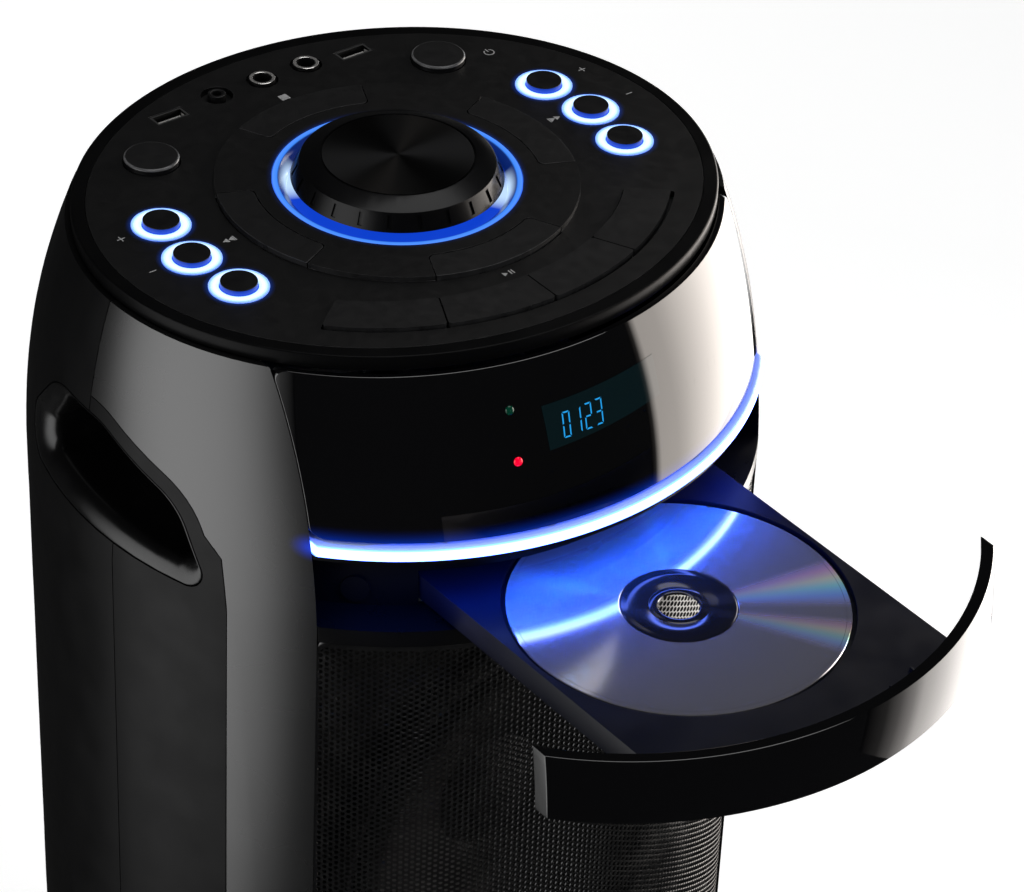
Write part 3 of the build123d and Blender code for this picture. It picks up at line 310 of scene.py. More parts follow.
def socket_metal():
    """Dull tin lip; walls and mouth darkened with painted shade; a pale tongue, partly its own colour and partly a
    painted reflection of its metal.
    """
    dark, dull, pale = (0.003, 0.003, 0.003), (0.05, 0.05, 0.05), (0.55, 0.54, 0.52)
    lip, tongue, tongue_half = PANEL - 0.0012, PANEL - 0.006, 0.0013
    s = Shader("socket_metal", dull, 0.35, metallic=0.35)
    x, y, z = s.separate()
    # painted shade: faces that don't face up, and all below the lip, take the near-black colour
    level = s.math("GREATER_THAN", s.normal()[2], 0.5)
    colour = s.mix(s.times(level, s.math("GREATER_THAN", z, lip)), dark, dull)
    low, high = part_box("usb_ports")
    off = s.math("ABSOLUTE", s.minus(y, (low.y + high.y) / 2))
    on_tongue = s.times(s.math("GREATER_THAN", z, tongue), s.math("LESS_THAN", z, lip),
                        s.math("LESS_THAN", off, tongue_half))
    # the tongue's pale colour is partly its own and partly a painted reflection
    s.link(s.mix(on_tongue, colour, pale), s.bsdf.inputs["Base Color"])
    return s.uneven(180, 0.05).grain(1500, 0.00001, 0.2).mat


def circuit_green():
    """Board with a raster of traces."""
    s = Shader("circuit_green", (0.02, 0.11, 0.055), 0.35)
    trace = s.add("ShaderNodeTexBrick")
    s.link(s.place, trace.inputs["Vector"])
    trace.inputs["Scale"].default_value = 260
    for key, colour in (("Color1", (0.02, 0.11, 0.055)), ("Color2", (0.014, 0.085, 0.04)),
                        ("Mortar", (0.05, 0.2, 0.1))):
        s.feed(trace.inputs[key], colour)
    s.link(trace.outputs["Color"], s.bsdf.inputs["Base Color"])
    return s.uneven(90, 0.1).grain(800, 0.00005, 0.3).mat


def paint(obj, mat):
    obj.data.materials.clear()
    obj.data.materials.append(mat)


# ---------------- mesh helpers
def piece(name, verts, faces, mat=None, smooth=True):
    mesh = bpy.data.meshes.new(name)
    mesh.from_pydata([tuple(v) for v in verts], [], faces)
    mesh.validate()
    mesh.polygons.foreach_set("use_smooth", [smooth] * len(mesh.polygons))
    obj = bpy.data.objects.new(name, mesh)
    scene.collection.objects.link(obj)
    if mat:
        paint(obj, mat)
    return obj


def refined(node, width, mat, angle=32, segments=2, body_shift=None):
    """A copy of a CAD node with its edges rounded, which stands for the node.

    body_shift is given for a node that is part of the body's outer surface: how far it has moved along y from there.
    """
    source = nodes[node]
    obj = bpy.data.objects.new(node + "_moulded", source.data.copy())
    scene.collection.objects.link(obj)
    paint(obj, mat)
    bm = bmesh.new()
    bm.from_mesh(obj.data)
    bmesh.ops.remove_doubles(bm, verts=bm.verts, dist=2e-6)
    bmesh.ops.dissolve_limit(bm, angle_limit=radians(0.6), verts=bm.verts, edges=bm.edges)
    sharp = [e for e in bm.edges if len(e.link_faces) == 2 and e.calc_face_angle(0) > radians(angle)]
    bmesh.ops.bevel(bm, geom=sharp, offset=width, segments=segments, profile=0.6, affect="EDGES",
                    clamp_overlap=True)
    bm.to_mesh(obj.data)
    bm.free()
    obj.data.polygons.foreach_set("use_smooth", [True] * len(obj.data.polygons))
    sharpen(obj, 40)
    level_flats(obj)
    if body_shift is not None:
        follow_body(obj, body_shift)
    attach(obj, source["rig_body"])
    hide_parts(node)
    return obj


def level_flats(obj):
    """Level faces keep their own normal out to their edges, so that only the rounded edges turn."""
    mesh = obj.data
    normals = [n.vector.copy() for n in mesh.corner_normals]
    level = {}
    for face in mesh.polygons:
        if abs(face.normal.z) > 0.9995:
            for v in face.vertices:
                level[v] = face.normal.copy()
    for face in mesh.polygons:
        for v, loop in zip(face.vertices, face.loop_indices):
            if v in level and face.normal.dot(level[v]) > 0.35:
                normals[loop] = level[v]
    mesh.normals_split_custom_set([tuple(n) for n in normals])


def sharpen(obj, angle):
    """Marks edges steeper than an angle as sharp, so that flats shade flat."""
    bm = bmesh.new()
    bm.from_mesh(obj.data)
    for edge in bm.edges:
        if len(edge.link_faces) == 2 and edge.calc_face_angle(0) > radians(angle):
            edge.smooth = False
    bm.to_mesh(obj.data)
    bm.free()


def lathe(name, profile, mat=None, centre=(0, 0, 0), steps=128, closed=True):
    """Turns (radius, height) points about an upright axis."""
    verts = []
    for i in range(steps):
        a = 2 * pi * i / steps
        for r, h in profile:
            verts.append(Vector((r * cos(a), r * sin(a), h)) + Vector(centre))
    n = len(profile)
    last = n if closed else n - 1
    faces = []
    for i in range(steps):
        j = (i + 1) % steps
        for k in range(last):
            m = (k + 1) % n
            faces.append((i * n + k, j * n + k, j * n + m, i * n + m))
    return piece(name, verts, faces, mat)


def between_rings(count, n):
    """Faces that join rings of n points each, which lie one after the other."""
    return [(i * n + k, i * n + (k + 1) % n, (i + 1) * n + (k + 1) % n, (i + 1) * n + k)
            for i in range(count - 1) for k in range(n)]


def recalc(obj):
    """Makes the face normals of a piece agree, outward where it is closed."""
    bm = bmesh.new()
    bm.from_mesh(obj.data)
    bmesh.ops.recalc_face_normals(bm, faces=bm.faces)
    bm.to_mesh(obj.data)
    bm.free()
    return obj


# ---------------- the body's outer surface
# half width, half depth and centre of the body at its foot, and at four levels below the panel
FOOT = (0.1340, 0.1315, -0.0045)
SHOULDERS = (
    (0.100, 0.1366, 0.1341, -0.0018),
    (0.066, 0.1341, 0.1316, -0.0012),
    (0.035, 0.1300, 0.1229, -0.0012),
    (0.000, 0.1202, 0.1078, 0.0),
)
WIDEST_LEVEL, *WIDEST = SHOULDERS[0]
WIDEST_Z = PANEL - WIDEST_LEVEL


def oval(z):
    """Half width, half depth and centre of the body at a height, with one curve through the shoulders."""
    if z <= WIDEST_Z:
        t = z / WIDEST_Z
        return tuple(a + (b - a) * t for a, b in zip(FOOT, WIDEST))
    level = PANEL - z
    weights = [prod((level - other[0]) / (one[0] - other[0]) for other in SHOULDERS if other != one)
               for one in SHOULDERS]
    return tuple(sum(weight * one[k] for weight, one in zip(weights, SHOULDERS)) for k in (1, 2, 3))


def on_trunk(x_angle, z, inset):
    """Point on the trunk at an angle from the front, set in along the oval."""
    half_w, half_d, centre = oval(z)
    return Vector(((half_w - inset) * sin(x_angle), centre - (half_d - inset) * cos(x_angle), z))


def beyond(p):
    """How far a point stands outside the body's surface."""
    half_w, half_d, centre = oval(p.z)
    return (hypot(p.x / half_w, (p.y - centre) / half_d) - 1) * min(half_w, half_d)


def body_normal(p):
    steps = (Vector((0.00005, 0, 0)), Vector((0, 0.00005, 0)), Vector((0, 0, 0.00005)))
    return Vector([beyond(p + e) - beyond(p - e) for e in steps]).normalized()


def on_body(x, level, out=0.0):
    """Point on the body's front at a place across and a level below the panel, and a little proud of it."""
    half_w, half_d, centre = oval(PANEL - level)
    p = Vector((x, centre - half_d * sqrt(1 - (x / half_w) ** 2), PANEL - level))
    return p + body_normal(p) * out


def follow_body(obj, shift):
    """Gives the faces on the body's outer surface its true normals, so that reflections run smoothly."""
    mesh = obj.data
    move = Vector((0, shift, 0))
    normals = [n.vector.copy() for n in mesh.corner_normals]
    for face in mesh.polygons:
        middle = face.center - move
        if abs(beyond(middle)) < 0.0008 and face.normal.dot(body_normal(middle)) > 0.95:
            for loop in face.loop_indices:
                normals[loop] = body_normal(mesh.vertices[mesh.loops[loop].vertex_index].co - move)
    mesh.normals_split_custom_set([tuple(n) for n in normals])


# ---------------- camera and light
CAMERA_AT = Vector((-0.78215, -1.02096, 0.79719 + PANEL))
CAMERA_TURN = (-39.48, 35.32, 2.68)  # azimuth, elevation and roll in degrees
FRAME_WIDTH, FOCAL_PIXELS, SENSOR = 1024, 4215.73, 36.0


def make_camera():
    azimuth, elevation, roll = map(radians, CAMERA_TURN)
    back = Vector((sin(azimuth) * cos(elevation), -cos(azimuth) * cos(elevation), sin(elevation)))
    side = Vector((cos(azimuth), sin(azimuth), 0))
    up = back.cross(side)
    right = cos(roll) * side + sin(roll) * up
    top = cos(roll) * up - sin(roll) * side
    camera = bpy.data.objects.new("camera", bpy.data.cameras.new("camera"))
    camera.data.sensor_width = SENSOR
    camera.data.lens = SENSOR * FOCAL_PIXELS / FRAME_WIDTH
    camera.matrix_world = Matrix((
        (right.x, top.x, back.x, CAMERA_AT.x), (right.y, top.y, back.y, CAMERA_AT.y),
        (right.z, top.z, back.z, CAMERA_AT.z), (0, 0, 0, 1)))
    scene.collection.objects.link(camera)
    scene.camera = camera


def lamp(name, place, aim, size, power, colour=(1, 1, 1)):
    """Soft lamp that lights the object but has no mirror image in its gloss."""
    light = bpy.data.lights.new(name, "AREA")
    light.shape = "RECTANGLE"
    light.size, light.size_y = size
    light.energy = power
    light.color = colour
    obj = bpy.data.objects.new(name, light)
    obj.location = place
    obj.rotation_euler = (Vector(aim) - Vector(place)).to_track_quat("-Z", "Y").to_euler()
    obj.visible_camera = False
    obj.visible_glossy = False
    scene.collection.objects.link(obj)


def glowing(name, strength):
    """A material that only glows, its nodes and its emission."""
    mat = bpy.data.materials.new(name)
    n = Nodes(mat, clear=True)
    glow = n.add("ShaderNodeEmission")
    glow.inputs["Strength"].default_value = strength
    n.link(glow.outputs[0], n.add("ShaderNodeOutputMaterial").inputs[0])
    return mat, n, glow


def only_in_gloss(obj):
    obj.visible_camera = False
    obj.visible_diffuse = False
    obj.visible_transmission = False
    obj.visible_shadow = False


def level_sheet(name, x0, x1, y0, y1, z, mat, smooth=False):
    return piece(name, [(x0, y0, z), (x1, y0, z), (x1, y1, z), (x0, y1, z)], [(0, 1, 2, 3)], mat, smooth)


def card(name, azimuth, distance, u0, u1, z0, z1, strength, tint, across, upward):
    """Upright studio card that the gloss mirrors. Its brightness changes across and upward by (place, share)."""
    mat, n, glow = glowing(name, strength)
    x, y, z = n.parts(n.add("ShaderNodeTexCoord").outputs["Object"])
    shares = []
    for along, low, high, stops, hue in ((x, u0, u1, across, (1, 1, 1)), (z, z0, z1, upward, tint)):
        shares.append(n.ramp(n.spread(along, low, high), [
            ((at - low) / (high - low), [value * part for part in hue]) for at, value in stops]))
    n.link(n.mix(1.0, *shares, blend="MULTIPLY"), glow.inputs["Color"])
    verts = [(u0, 0, z0), (u1, 0, z0), (u1, 0, z1), (u0, 0, z1)]
    obj = piece(name, verts, [(0, 1, 2, 3)], mat, smooth=False)
    a = radians(azimuth)
    obj.matrix_world = Matrix((
        (cos(a), -sin(a), 0, sin(a) * distance), (sin(a), cos(a), 0, -cos(a) * distance),
        (0, 0, 1, 0), (0, 0, 0, 1)))
    only_in_gloss(obj)


def make_world():
    """White where the camera, gloss or glass sees it, and dim as a light."""
    world = bpy.data.worlds.new("studio")
    scene.world = world
    n = Nodes(world, clear=True)
    shades = []
    for strength in (0.12, 1.0):
        shade = n.add("ShaderNodeBackground")
        shade.inputs["Color"].default_value = (1, 1, 1, 1)
        shade.inputs["Strength"].default_value = strength
        shades.append(shade.outputs[0])
    path = n.add("ShaderNodeLightPath").outputs
    seen = n.math("MAXIMUM", path["Is Camera Ray"], path["Is Glossy Ray"])
    seen = n.math("MAXIMUM", seen, path["Is Transmission Ray"])
    mix = n.add("ShaderNodeMixShader")
    for socket, source in zip(mix.inputs, (seen, *shades)):
        n.link(source, socket)
    n.link(mix.outputs[0], n.add("ShaderNodeOutputWorld").inputs[0])


def make_floor():
    mat = bpy.data.materials.new("floor")
    n = Nodes(mat)
    pale = n.tree.nodes["Principled BSDF"]
    pale.inputs["Base Color"].default_value = (0.8, 0.8, 0.8, 1)
    pale.inputs["Roughness"].default_value = 0.9
    lit = n.add("ShaderNodeEmission")
    lit.inputs["Strength"].default_value = 0.6
    both = n.add("ShaderNodeAddShader")
    n.link(pale.outputs[0], both.inputs[0])
    n.link(lit.outputs[0], both.inputs[1])
    n.link(both.outputs[0], n.tree.nodes["Material Output"].inputs[0])
    level_sheet("floor", -6, 6, -6, 6, FLOOR_Z, mat, smooth=True)


def make_stage():
    scene.view_settings.view_transform = "Standard"
    make_world()
    make_floor()
    # black cloth round the set, open overhead
    only_in_gloss(lathe("black_cloth", [(0.001, -0.005), (2.4, -0.005), (2.4, 2.0), (0.14, 2.2)],
                        glowing("black_cloth", 0.02)[0], steps=48, closed=False))
    lamp("lamp_top", (0.1, -0.2, 2.2), (0, 0, 0.6), (1.2, 1.2), 9)
    lamp("lamp_front", (0.6, -1.9, 1.3), (0, 0, 0.4), (1.0, 1.4), 14)
    lamp("lamp_left", (-1.9, -0.2, 1.2), (0, 0, 0.4), (0.8, 1.4), 7)
    lamp("lamp_back", (0.5, 1.9, 1.3), (0, 0, 0.4), (0.8, 1.4), 10)
    card("card_left", -98, 0.52, -0.34, 0.44, -0.01, 0.86, 2.25, (1, 1, 1),
         ((-0.34, 0.0), (-0.25, 0.015), (-0.19, 0.26), (-0.125, 0.7), (-0.07, 0.86), (0.0, 1.0), (0.15, 1.0),
          (0.24, 0.84), (0.29, 0.62), (0.34, 0.38), (0.38, 0.12), (0.44, 0.0)),
         ((-0.01, 0.5), (0.10, 0.7), (0.28, 0.92), (0.50, 1.0), (0.86, 1.0)))
    card("card_right", 82, 0.64, -0.57, 0.30, 0.30, 0.92, 7.7, (1.0, 0.92, 0.85),
         ((-0.57, 0.0), (-0.545, 0.02), (-0.525, 0.25), (-0.505, 0.45), (-0.40, 0.46), (-0.35, 0.53),
          (-0.30, 0.63), (-0.235, 0.74), (-0.17, 0.85), (-0.12, 0.93), (-0.03, 1.0), (0.30, 1.0)),
         ((0.30, 0.95), (0.80, 1.0), (0.92, 0.2)))
    card("card_low", 82, 0.64, -0.80, 0.30, -0.01, 0.30, 5.4, (1.0, 0.95, 0.91),
         ((-0.80, 0.0), (-0.66, 0.027), (-0.573, 0.115), (-0.49, 0.30), (-0.43, 0.56), (-0.32, 0.72),
          (-0.216, 0.88), (-0.09, 0.97), (0.30, 1.0)),
         ((-0.01, 0.9), (0.30, 1.0)))
    card("card_back", 120, 1.0, -0.5, 0.15, 0.0, 0.8, 3.0, (1, 1, 1),
         ((-0.5, 0.0), (-0.3, 0.9), (-0.15, 1.0), (0.0, 0.8), (0.15, 0.0)),
         ((0.0, 0.0), (0.2, 1.0), (0.8, 1.0)))
    # level card overhead, for the bright lines along the rounded edges of the keys
    only_in_gloss(level_sheet("card_top", -0.1, 0.8, -0.3, 0.4, 1.75, glowing("card_top", 2.0)[0]))


# ---------------- perforated grille
HOLE_R = 0.00085
RIM = 0.00017  # bevel round a hole
ROW, COLUMN = 0.00245, 0.00212  # pitch of the holes upward and across
SHEET_T = 0.0006
SHEET_INSET = 0.0010  # sheet behind the body's surface
PLAIN_CORNER = 0.0033  # radius of the perforated field's corners
FOLD, FOLD_R = 0.0022, 0.0040  # width and corner radius of the folded border


def make_grille():
    """Perforated sheet in hexagonal cells, each a hole with a bevelled rim, in a folded border."""
    low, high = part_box("speaker_grille")
    z0, z1 = low.z, high.z
    across = oval((z0 + z1) / 2)[0] - SHEET_INSET
    turn = asin(high.x / across)
    half_w = turn * across
    step = COLUMN / across
    edge = 0.6 * FOLD
    columns = int((turn - edge / across) / step)
    rows = int((z1 - z0 - 2 * edge) / ROW)
    base_z = (z0 + z1 - rows * ROW) / 2
    verts = []
    index = {}

    def vertex(u, v, depth):
        key = (round(u * 1e7), round(v * 1e7), depth)
        if key not in index:
            index[key] = len(verts)
            verts.append(on_trunk(u, v, SHEET_INSET + depth))
        return index[key]

    faces = []
    hexagon = [radians(60 * k) for k in range(6)]
    cell_r = ROW / sqrt(3)
    for c in range(-columns, columns + 1):
        u = c * step
        shift = 0.5 * ROW if c % 2 else 0.0
        for r in range(rows):
            v = base_z + (r + 0.25) * ROW + shift
            # the sheet's rounded corners stay whole
            dx = abs(u) * across - half_w + PLAIN_CORNER
            dz = max(v - z1, z0 - v) + PLAIN_CORNER
            if dx > 0 and dz > 0 and hypot(dx, dz) > PLAIN_CORNER - edge:
                continue
            outer = [vertex(u + cell_r * cos(a) / across, v + cell_r * sin(a), 0) for a in hexagon]
            loops = [outer]
            for radius, depth in ((HOLE_R + RIM, 0), (HOLE_R, 1.7 * RIM), (HOLE_R, SHEET_T)):
                loops.append([vertex(u + radius * cos(a) / across, v + radius * sin(a), depth) for a in hexagon])
            for ring, inner in zip(loops, loops[1:]):
                for k in range(6):
                    m = (k + 1) % 6
                    faces.append((ring[k], ring[m], inner[m], inner[k]))
    sheet = piece("grille_mesh", verts, faces, use("grille_paint"), smooth=False)
    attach(sheet, "cabinet")
    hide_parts("speaker_grille")

    # folded border round the perforated field: its outline, divided to follow the curve, then its section
    side, top = half_w - FOLD_R, z1 - FOLD_R
    bottom = z0 + FOLD_R
    corners = []
    for cx, cz, start in ((side, top, 0), (-side, top, 90), (-side, bottom, 180), (side, bottom, 270)):
        for k in range(7):
            a = radians(start + 15 * k)
            corners.append((cx + FOLD_R * cos(a), cz + FOLD_R * sin(a)))
    outline = []
    for p, q in zip(corners, corners[1:] + corners[:1]):
        n = max(1, int(hypot(q[0] - p[0], q[1] - p[1]) / 0.004))
        outline += [(p[0] + (q[0] - p[0]) * k / n, p[1] + (q[1] - p[1]) * k / n) for k in range(n)]
    section = [(FOLD, 0.0006), (FOLD, -0.00012), (FOLD * 0.45, -0.00025), (0.0003, -0.00005), (0.0, 0.0005),
               (0.0, 0.0035)]
    middle, half_h = (z0 + z1) / 2, (z1 - z0) / 2
    verts = []
    for margin, depth in section:
        for s, z in outline:
            verts.append(on_trunk(s * (1 - margin / half_w) / across, middle + (z - middle) * (1 - margin / half_h),
                                  SHEET_INSET + depth))
    border = recalc(piece("grille_border", verts, between_rings(len(section), len(outline)), use("grille_paint")))
    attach(border, "cabinet")


# ---------------- lights of the machine
LIT = (0.1, 0.19, 1.0)
KEY_RING = (0.0066, 0.0107)  # inner and outer radius of the ring round a key
KNOB_RING = (0.0390, 0.0452)  # and of the ring in the knob's well
KEY_SPOTS = [(side * 0.0889 * cos(radians(t)), 0.0889 * sin(radians(t))) for side in (-1, 1)
             for t in (15.55, 0.0, -15.55)]


def radius_of(s, centre=(0.0, 0.0)):
    """Distance from an upright axis."""
    x, y, z = s.separate()
    return s.length(s.minus(x, centre[0]), s.minus(y, centre[1]))


def nearest_spot(s):
    """Distance from the nearest lit key's axis."""
    distance = radius_of(s, KEY_SPOTS[0])
    for spot in KEY_SPOTS[1:]:
        distance = s.math("MINIMUM", distance, radius_of(s, spot))
    return distance


def panel_black():
    """Satin panel with a painted blue glow round the lit rings, standing in for their scattered light."""
    s = Shader("panel_black", (0.0040, 0.0040, 0.0042), 0.42, specular=0.29)
    s.mottle(40, 0.15).polished_edges_with_painted_highlight().grain(2600, 0.00005, 0.3)
    key = s.spread(nearest_spot(s), KEY_RING[1], 0.0130, 1.0, 0.0)
    knob = s.spread(s.math("ABSOLUTE", s.minus(radius_of(s), KNOB_RING[1])), 0.0, 0.0022, 0.55, 0.0)
    # painted light: the halo round the key rings and the knob ring glows blue
    halo = s.math("MAXIMUM", s.times(key, key), s.times(knob, knob))
    return s.glow((0.0, 0.12, 1.0), s.times(halo, 0.16)).mat


def key_black():
    s = Shader("key_black", (0.0050, 0.0050, 0.0054), 0.38, specular=0.4)
    return s.mottle(90, 0.15).polished_edges_with_painted_highlight().grain(2800, 0.00004, 0.25).mat


def lit_key():
    """Round key: a black cap over a side wall with a painted blue glow, stronger low down, that stands in for the
    ring's light below.
    """
    s = Shader("lit_key", (0.0035, 0.0035, 0.004), 0.35, specular=0.4)
    s.mottle(90, 0.15).uneven(200, 0.05).grain(2800, 0.00004, 0.25)
    z = s.separate()[2]
    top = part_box("left_middle_button")[1].z
    height = s.spread(z, top - 0.0026, top - 0.0002, 1.0, 0.5)
    wall = s.times(s.math("GREATER_THAN", nearest_spot(s), 0.00635), s.math("LESS_THAN", z, top - 0.0003))
    # painted light: the side wall glows blue, more near its foot
    return s.glow((0.006, 0.085, 0.95), s.times(wall, height, 0.85)).mat


def bar_light():
    """Milky bar: white along its middle, deep blue at its edges, dark on its back."""
    s = Shader("bar_light", (0.5, 0.65, 1.0), 0.25)
    x, y, z = s.separate()
    middle = s.math("ABSOLUTE", s.spread(z, BAR_LOW.z, BAR_HIGH.z, -1.0, 1.0))
    nx, ny, nz = s.normal()
    outward = s.math("GREATER_THAN", s.plus(s.times(x, nx), s.times(y, ny)), 0.0)
    s.glow(s.ramp(middle, [(0.0, LIT), (0.62, LIT), (0.78, (0.012, 0.075, 0.55)), (0.9, (0.0005, 0.012, 0.13)),
                           (1.0, (0.0, 0.004, 0.06))]), s.times(outward, 10.0))
    return s.grain(300, 0.00005, 0.2).uneven(40, 0.1).mat


def facing_up(s):
    """Keeps a ring's light off its underside and walls."""
    return s.math("GREATER_THAN", s.normal()[2], 0.1)


def key_ring_light():
    """Ring round a key: white, with a blue line at each edge."""
    s = Shader("key_ring_light", (0.6, 0.75, 1.0), 0.25)
    s.glow(s.ramp(s.spread(nearest_spot(s), *KEY_RING), [
        (0.0, (0.05, 0.26, 1.0)), (0.14, (0.42, 0.64, 1.0)), (0.5, (0.66, 0.82, 1.0)), (0.7, (0.4, 0.62, 1.0)),
        (0.86, (0.05, 0.28, 1.0)), (1.0, (0.0, 0.09, 0.6))]), s.times(facing_up(s), 1.15))
    return s.grain(900, 0.00003, 0.2).uneven(300, 0.08).mat


def knob_ring_light():
    """Ring in the knob's well: clear blue on its flat rim, deep blue down its slope, with a painted white highlight
    on its slope at its two sides across the view.
    """
    s = Shader("knob_ring_light", (0.008, 0.02, 0.1), 0.16, specular=0.6)
    x, y, z = s.separate()
    r = radius_of(s)
    colour = s.ramp(s.spread(r, *KNOB_RING), [
        (0.0, (0.004, 0.05, 0.6)), (0.2, (0.0, 0.006, 0.07)), (0.58, (0.0, 0.012, 0.12)),
        (0.68, (0.05, 0.25, 0.95)), (0.9, (0.09, 0.3, 1.0)), (1.0, (0.01, 0.08, 0.9))])
    # painted highlight: white on the inner slope where the ring lies to the left and right across the view
    lateral = s.plus(s.times(x, 0.772), s.times(y, -0.636))
    aside = s.math("DIVIDE", s.math("ABSOLUTE", lateral), r)
    painted_side_highlight = s.times(s.spread(aside, 0.955, 0.999), s.spread(r, 0.0428, 0.0402))
    s.glow(s.mix(painted_side_highlight, colour, (0.55, 0.76, 1.0)), facing_up(s))
    return s.grain(900, 0.00003, 0.2).uneven(200, 0.06).mat


def bar_spill():
    """The bar's own light, carried by small lamps so that it reaches the tray, the disc and the recess."""
    for i, share in enumerate((-0.8, -0.45, -0.1, 0.25, 0.6)):
        place = on_body(share * BAR_HIGH.x, PANEL - BAR_Z + 0.006, 0.004)
        aim = place + body_normal(place) * 0.35 + Vector((0, 0, -1))
        lamp(f"bar_spill_{i}", place, aim, (0.04, 0.004), 0.06, (0.0, 0.10, 1.0))


def make_lights():
    bar_spill()
    refined("light_bar", 0.0002, bar_light())
    refined("button_light_rings", 0.00015, key_ring_light())
    refined("knob_light_ring", 0.0002, knob_ring_light())


# ---------------- knob and disc
def turned(s, r, pitch, stretch):
    """Fine rings about the axis, which draw the gloss out. Their noise comes back."""
    combine = s.add("ShaderNodeCombineXYZ")
    s.link(s.times(r, pitch), combine.inputs[0])
    s.bsdf.inputs["Anisotropic"].default_value = stretch
    tangent = s.add("ShaderNodeTangent", direction_type="RADIAL", axis="Z")
    s.link(tangent.outputs[0], s.bsdf.inputs["Tangent"])
    return s.noise(1.0, 2.0, vector=combine.outputs[0])


def make_knob():
    """Black knob with a spun metal face."""
    top, face_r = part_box("volume_knob")[1].z, 0.0272
    s = Shader("knob_finish", (0.004, 0.004, 0.0043), 0.26, specular=0.2)
    r = radius_of(s)
    face = s.times(s.math("LESS_THAN", r, face_r), s.math("GREATER_THAN", s.separate()[2], top - 0.0004))
    rings = turned(s, r, 5200.0, 0.9)
    s.link(s.mix(face, (0.0025, 0.0025, 0.0028), (0.035, 0.035, 0.036)), s.bsdf.inputs["Base Color"])
    s.link(face, s.bsdf.inputs["Metallic"])
    s.link(s.plus(s.times(face, s.spread(rings, 0.0, 1.0, 0.26, 0.36)), s.times(s.minus(1.0, face), 0.17)),
           s.bsdf.inputs["Roughness"])
    s.bump(s.times(rings, face), 0.00002, 0.2)
    refined("volume_knob", 0.0003, s.mat, angle=28, segments=3)


# painted rainbow reflections on the disc: middle and half width in degrees, and strength
PAINTED_RAINBOWS = ((-22, 14, 1.0), (-52, 10, 0.7), (158, 12, 0.3), (128, 9, 0.2), (62, 8, 0.2))


def disc_mirror(cx, cy):
    """Silver with painted rainbow reflections, in each of which the hue runs with the angle, a dark edge line and a
    dim hub.
    """
    s = Shader("disc_mirror", (0.62, 0.62, 0.66), 0.1, metallic=0.84, specular=0.6)
    x, y, z = s.separate()
    x, y = s.minus(x, cx), s.minus(y, cy)
    r = s.length(x, y)
    angle = s.math("ARCTAN2", y, x)
    colour = (0.60, 0.585, 0.62)
    painted_rainbow_share = 0.0
    # painted reflection: each rainbow is laid on the colour at a fixed angle round the disc, and less metal lets it
    # show
    for middle, width, share in PAINTED_RAINBOWS:
        turns = s.math("DIVIDE", s.minus(angle, radians(middle)), radians(width))
        wave = s.math("MAXIMUM", s.minus(1.0, s.times(turns, turns)), 0.0)
        hue = s.ramp(s.spread(turns, -1.0, 1.0), [
            (0.0, (0.35, 0.3, 0.95)), (0.25, (0.2, 0.5, 0.95)), (0.45, (0.35, 0.8, 0.6)), (0.62, (0.85, 0.8, 0.4)),
            (0.8, (0.95, 0.4, 0.45)), (1.0, (0.75, 0.3, 0.6))])
        painted_rainbow = s.times(wave, s.spread(r, 0.02, 0.06, 0.45, 1.0), share)
        colour = s.mix(painted_rainbow, colour, hue)
        painted_rainbow_share = s.math("MAXIMUM", painted_rainbow_share, painted_rainbow)
    s.link(s.spread(painted_rainbow_share, 0.0, 1.0, 0.84, 0.45), s.bsdf.inputs["Metallic"])
    edge_line = s.math("LESS_THAN", s.math("ABSOLUTE", s.minus(r, 0.0581)), 0.00012)
    colour = s.mix(s.times(edge_line, 0.6), colour, (0.12, 0.12, 0.13))
    hub = s.math("LESS_THAN", r, 0.0208)
    s.link(s.mix(hub, colour, (0.05, 0.05, 0.058)), s.bsdf.inputs["Base Color"])
    s.link(s.spread(turned(s, r, 9000.0, 0.5), 0.2, 0.8, 0.07, 0.13), s.bsdf.inputs["Roughness"])
    return s.mat


def make_disc():
    """Disc with its hole, the clamping ring's steps and the stacking ring."""
    low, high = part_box("compact_disc")
    cx, cy = (low.x + high.x) / 2, (low.y + high.y) / 2
    z0, z1 = low.z, high.z
    t = z1 - z0
    profile = [
        (0.0075, z0 + 0.1 * t), (0.0078, z0), (0.0170, z0), (0.0174, z0 - 0.0001), (0.0181, z0 - 0.0001),
        (0.0185, z0), (0.0597, z0), (0.0600, z0 + 0.2 * t), (0.0600, z1 - 0.2 * t), (0.0597, z1), (0.0209, z1),
        (0.0207, z1 - 0.00012), (0.0203, z1 - 0.00012), (0.0201, z1), (0.0185, z1), (0.0181, z1 + 0.00005),
        (0.0174, z1 + 0.00005), (0.0170, z1), (0.0110, z1), (0.0108, z1 - 0.0001), (0.0104, z1 - 0.0001),
        (0.0102, z1), (0.0078, z1), (0.0075, z1 - 0.1 * t)]
    disc = recalc(lathe("disc", profile, disc_mirror(cx, cy), centre=(cx, cy, 0), steps=192))
    sharpen(disc, 30)
    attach(disc, "disc")
    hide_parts("compact_disc")


# ---------------- carry handles
HANDLE_Y, HANDLE_LEVEL = -0.0070, 0.0715  # middle of the outline; the level is below the panel
HANDLE_LEN, HANDLE_H = 0.106, 0.047
HANDLE_R, ARCH_R = 0.006, 0.024  # radii of the outline's corners and of its arch
MOUTH_IN = (0.006, 0.014, 0.0025, 0.007)  # how far the mouth lies in: front, rear, top, bottom
CUP_FLOOR_X = 0.1041
# section of the cup: share of the way in from outline to mouth, and depth below the body's surface
LIP = ((0.0, 0.0030), (0.0, 0.0005), (0.015, 0.0002), (0.05, 0.0), (0.12, 0.0), (0.25, 0.00018), (0.4, 0.0006),
       (0.55, 0.0013), (0.7, 0.0023), (0.82, 0.0034), (0.91, 0.0047), (0.97, 0.0062), (1.0, 0.0080))


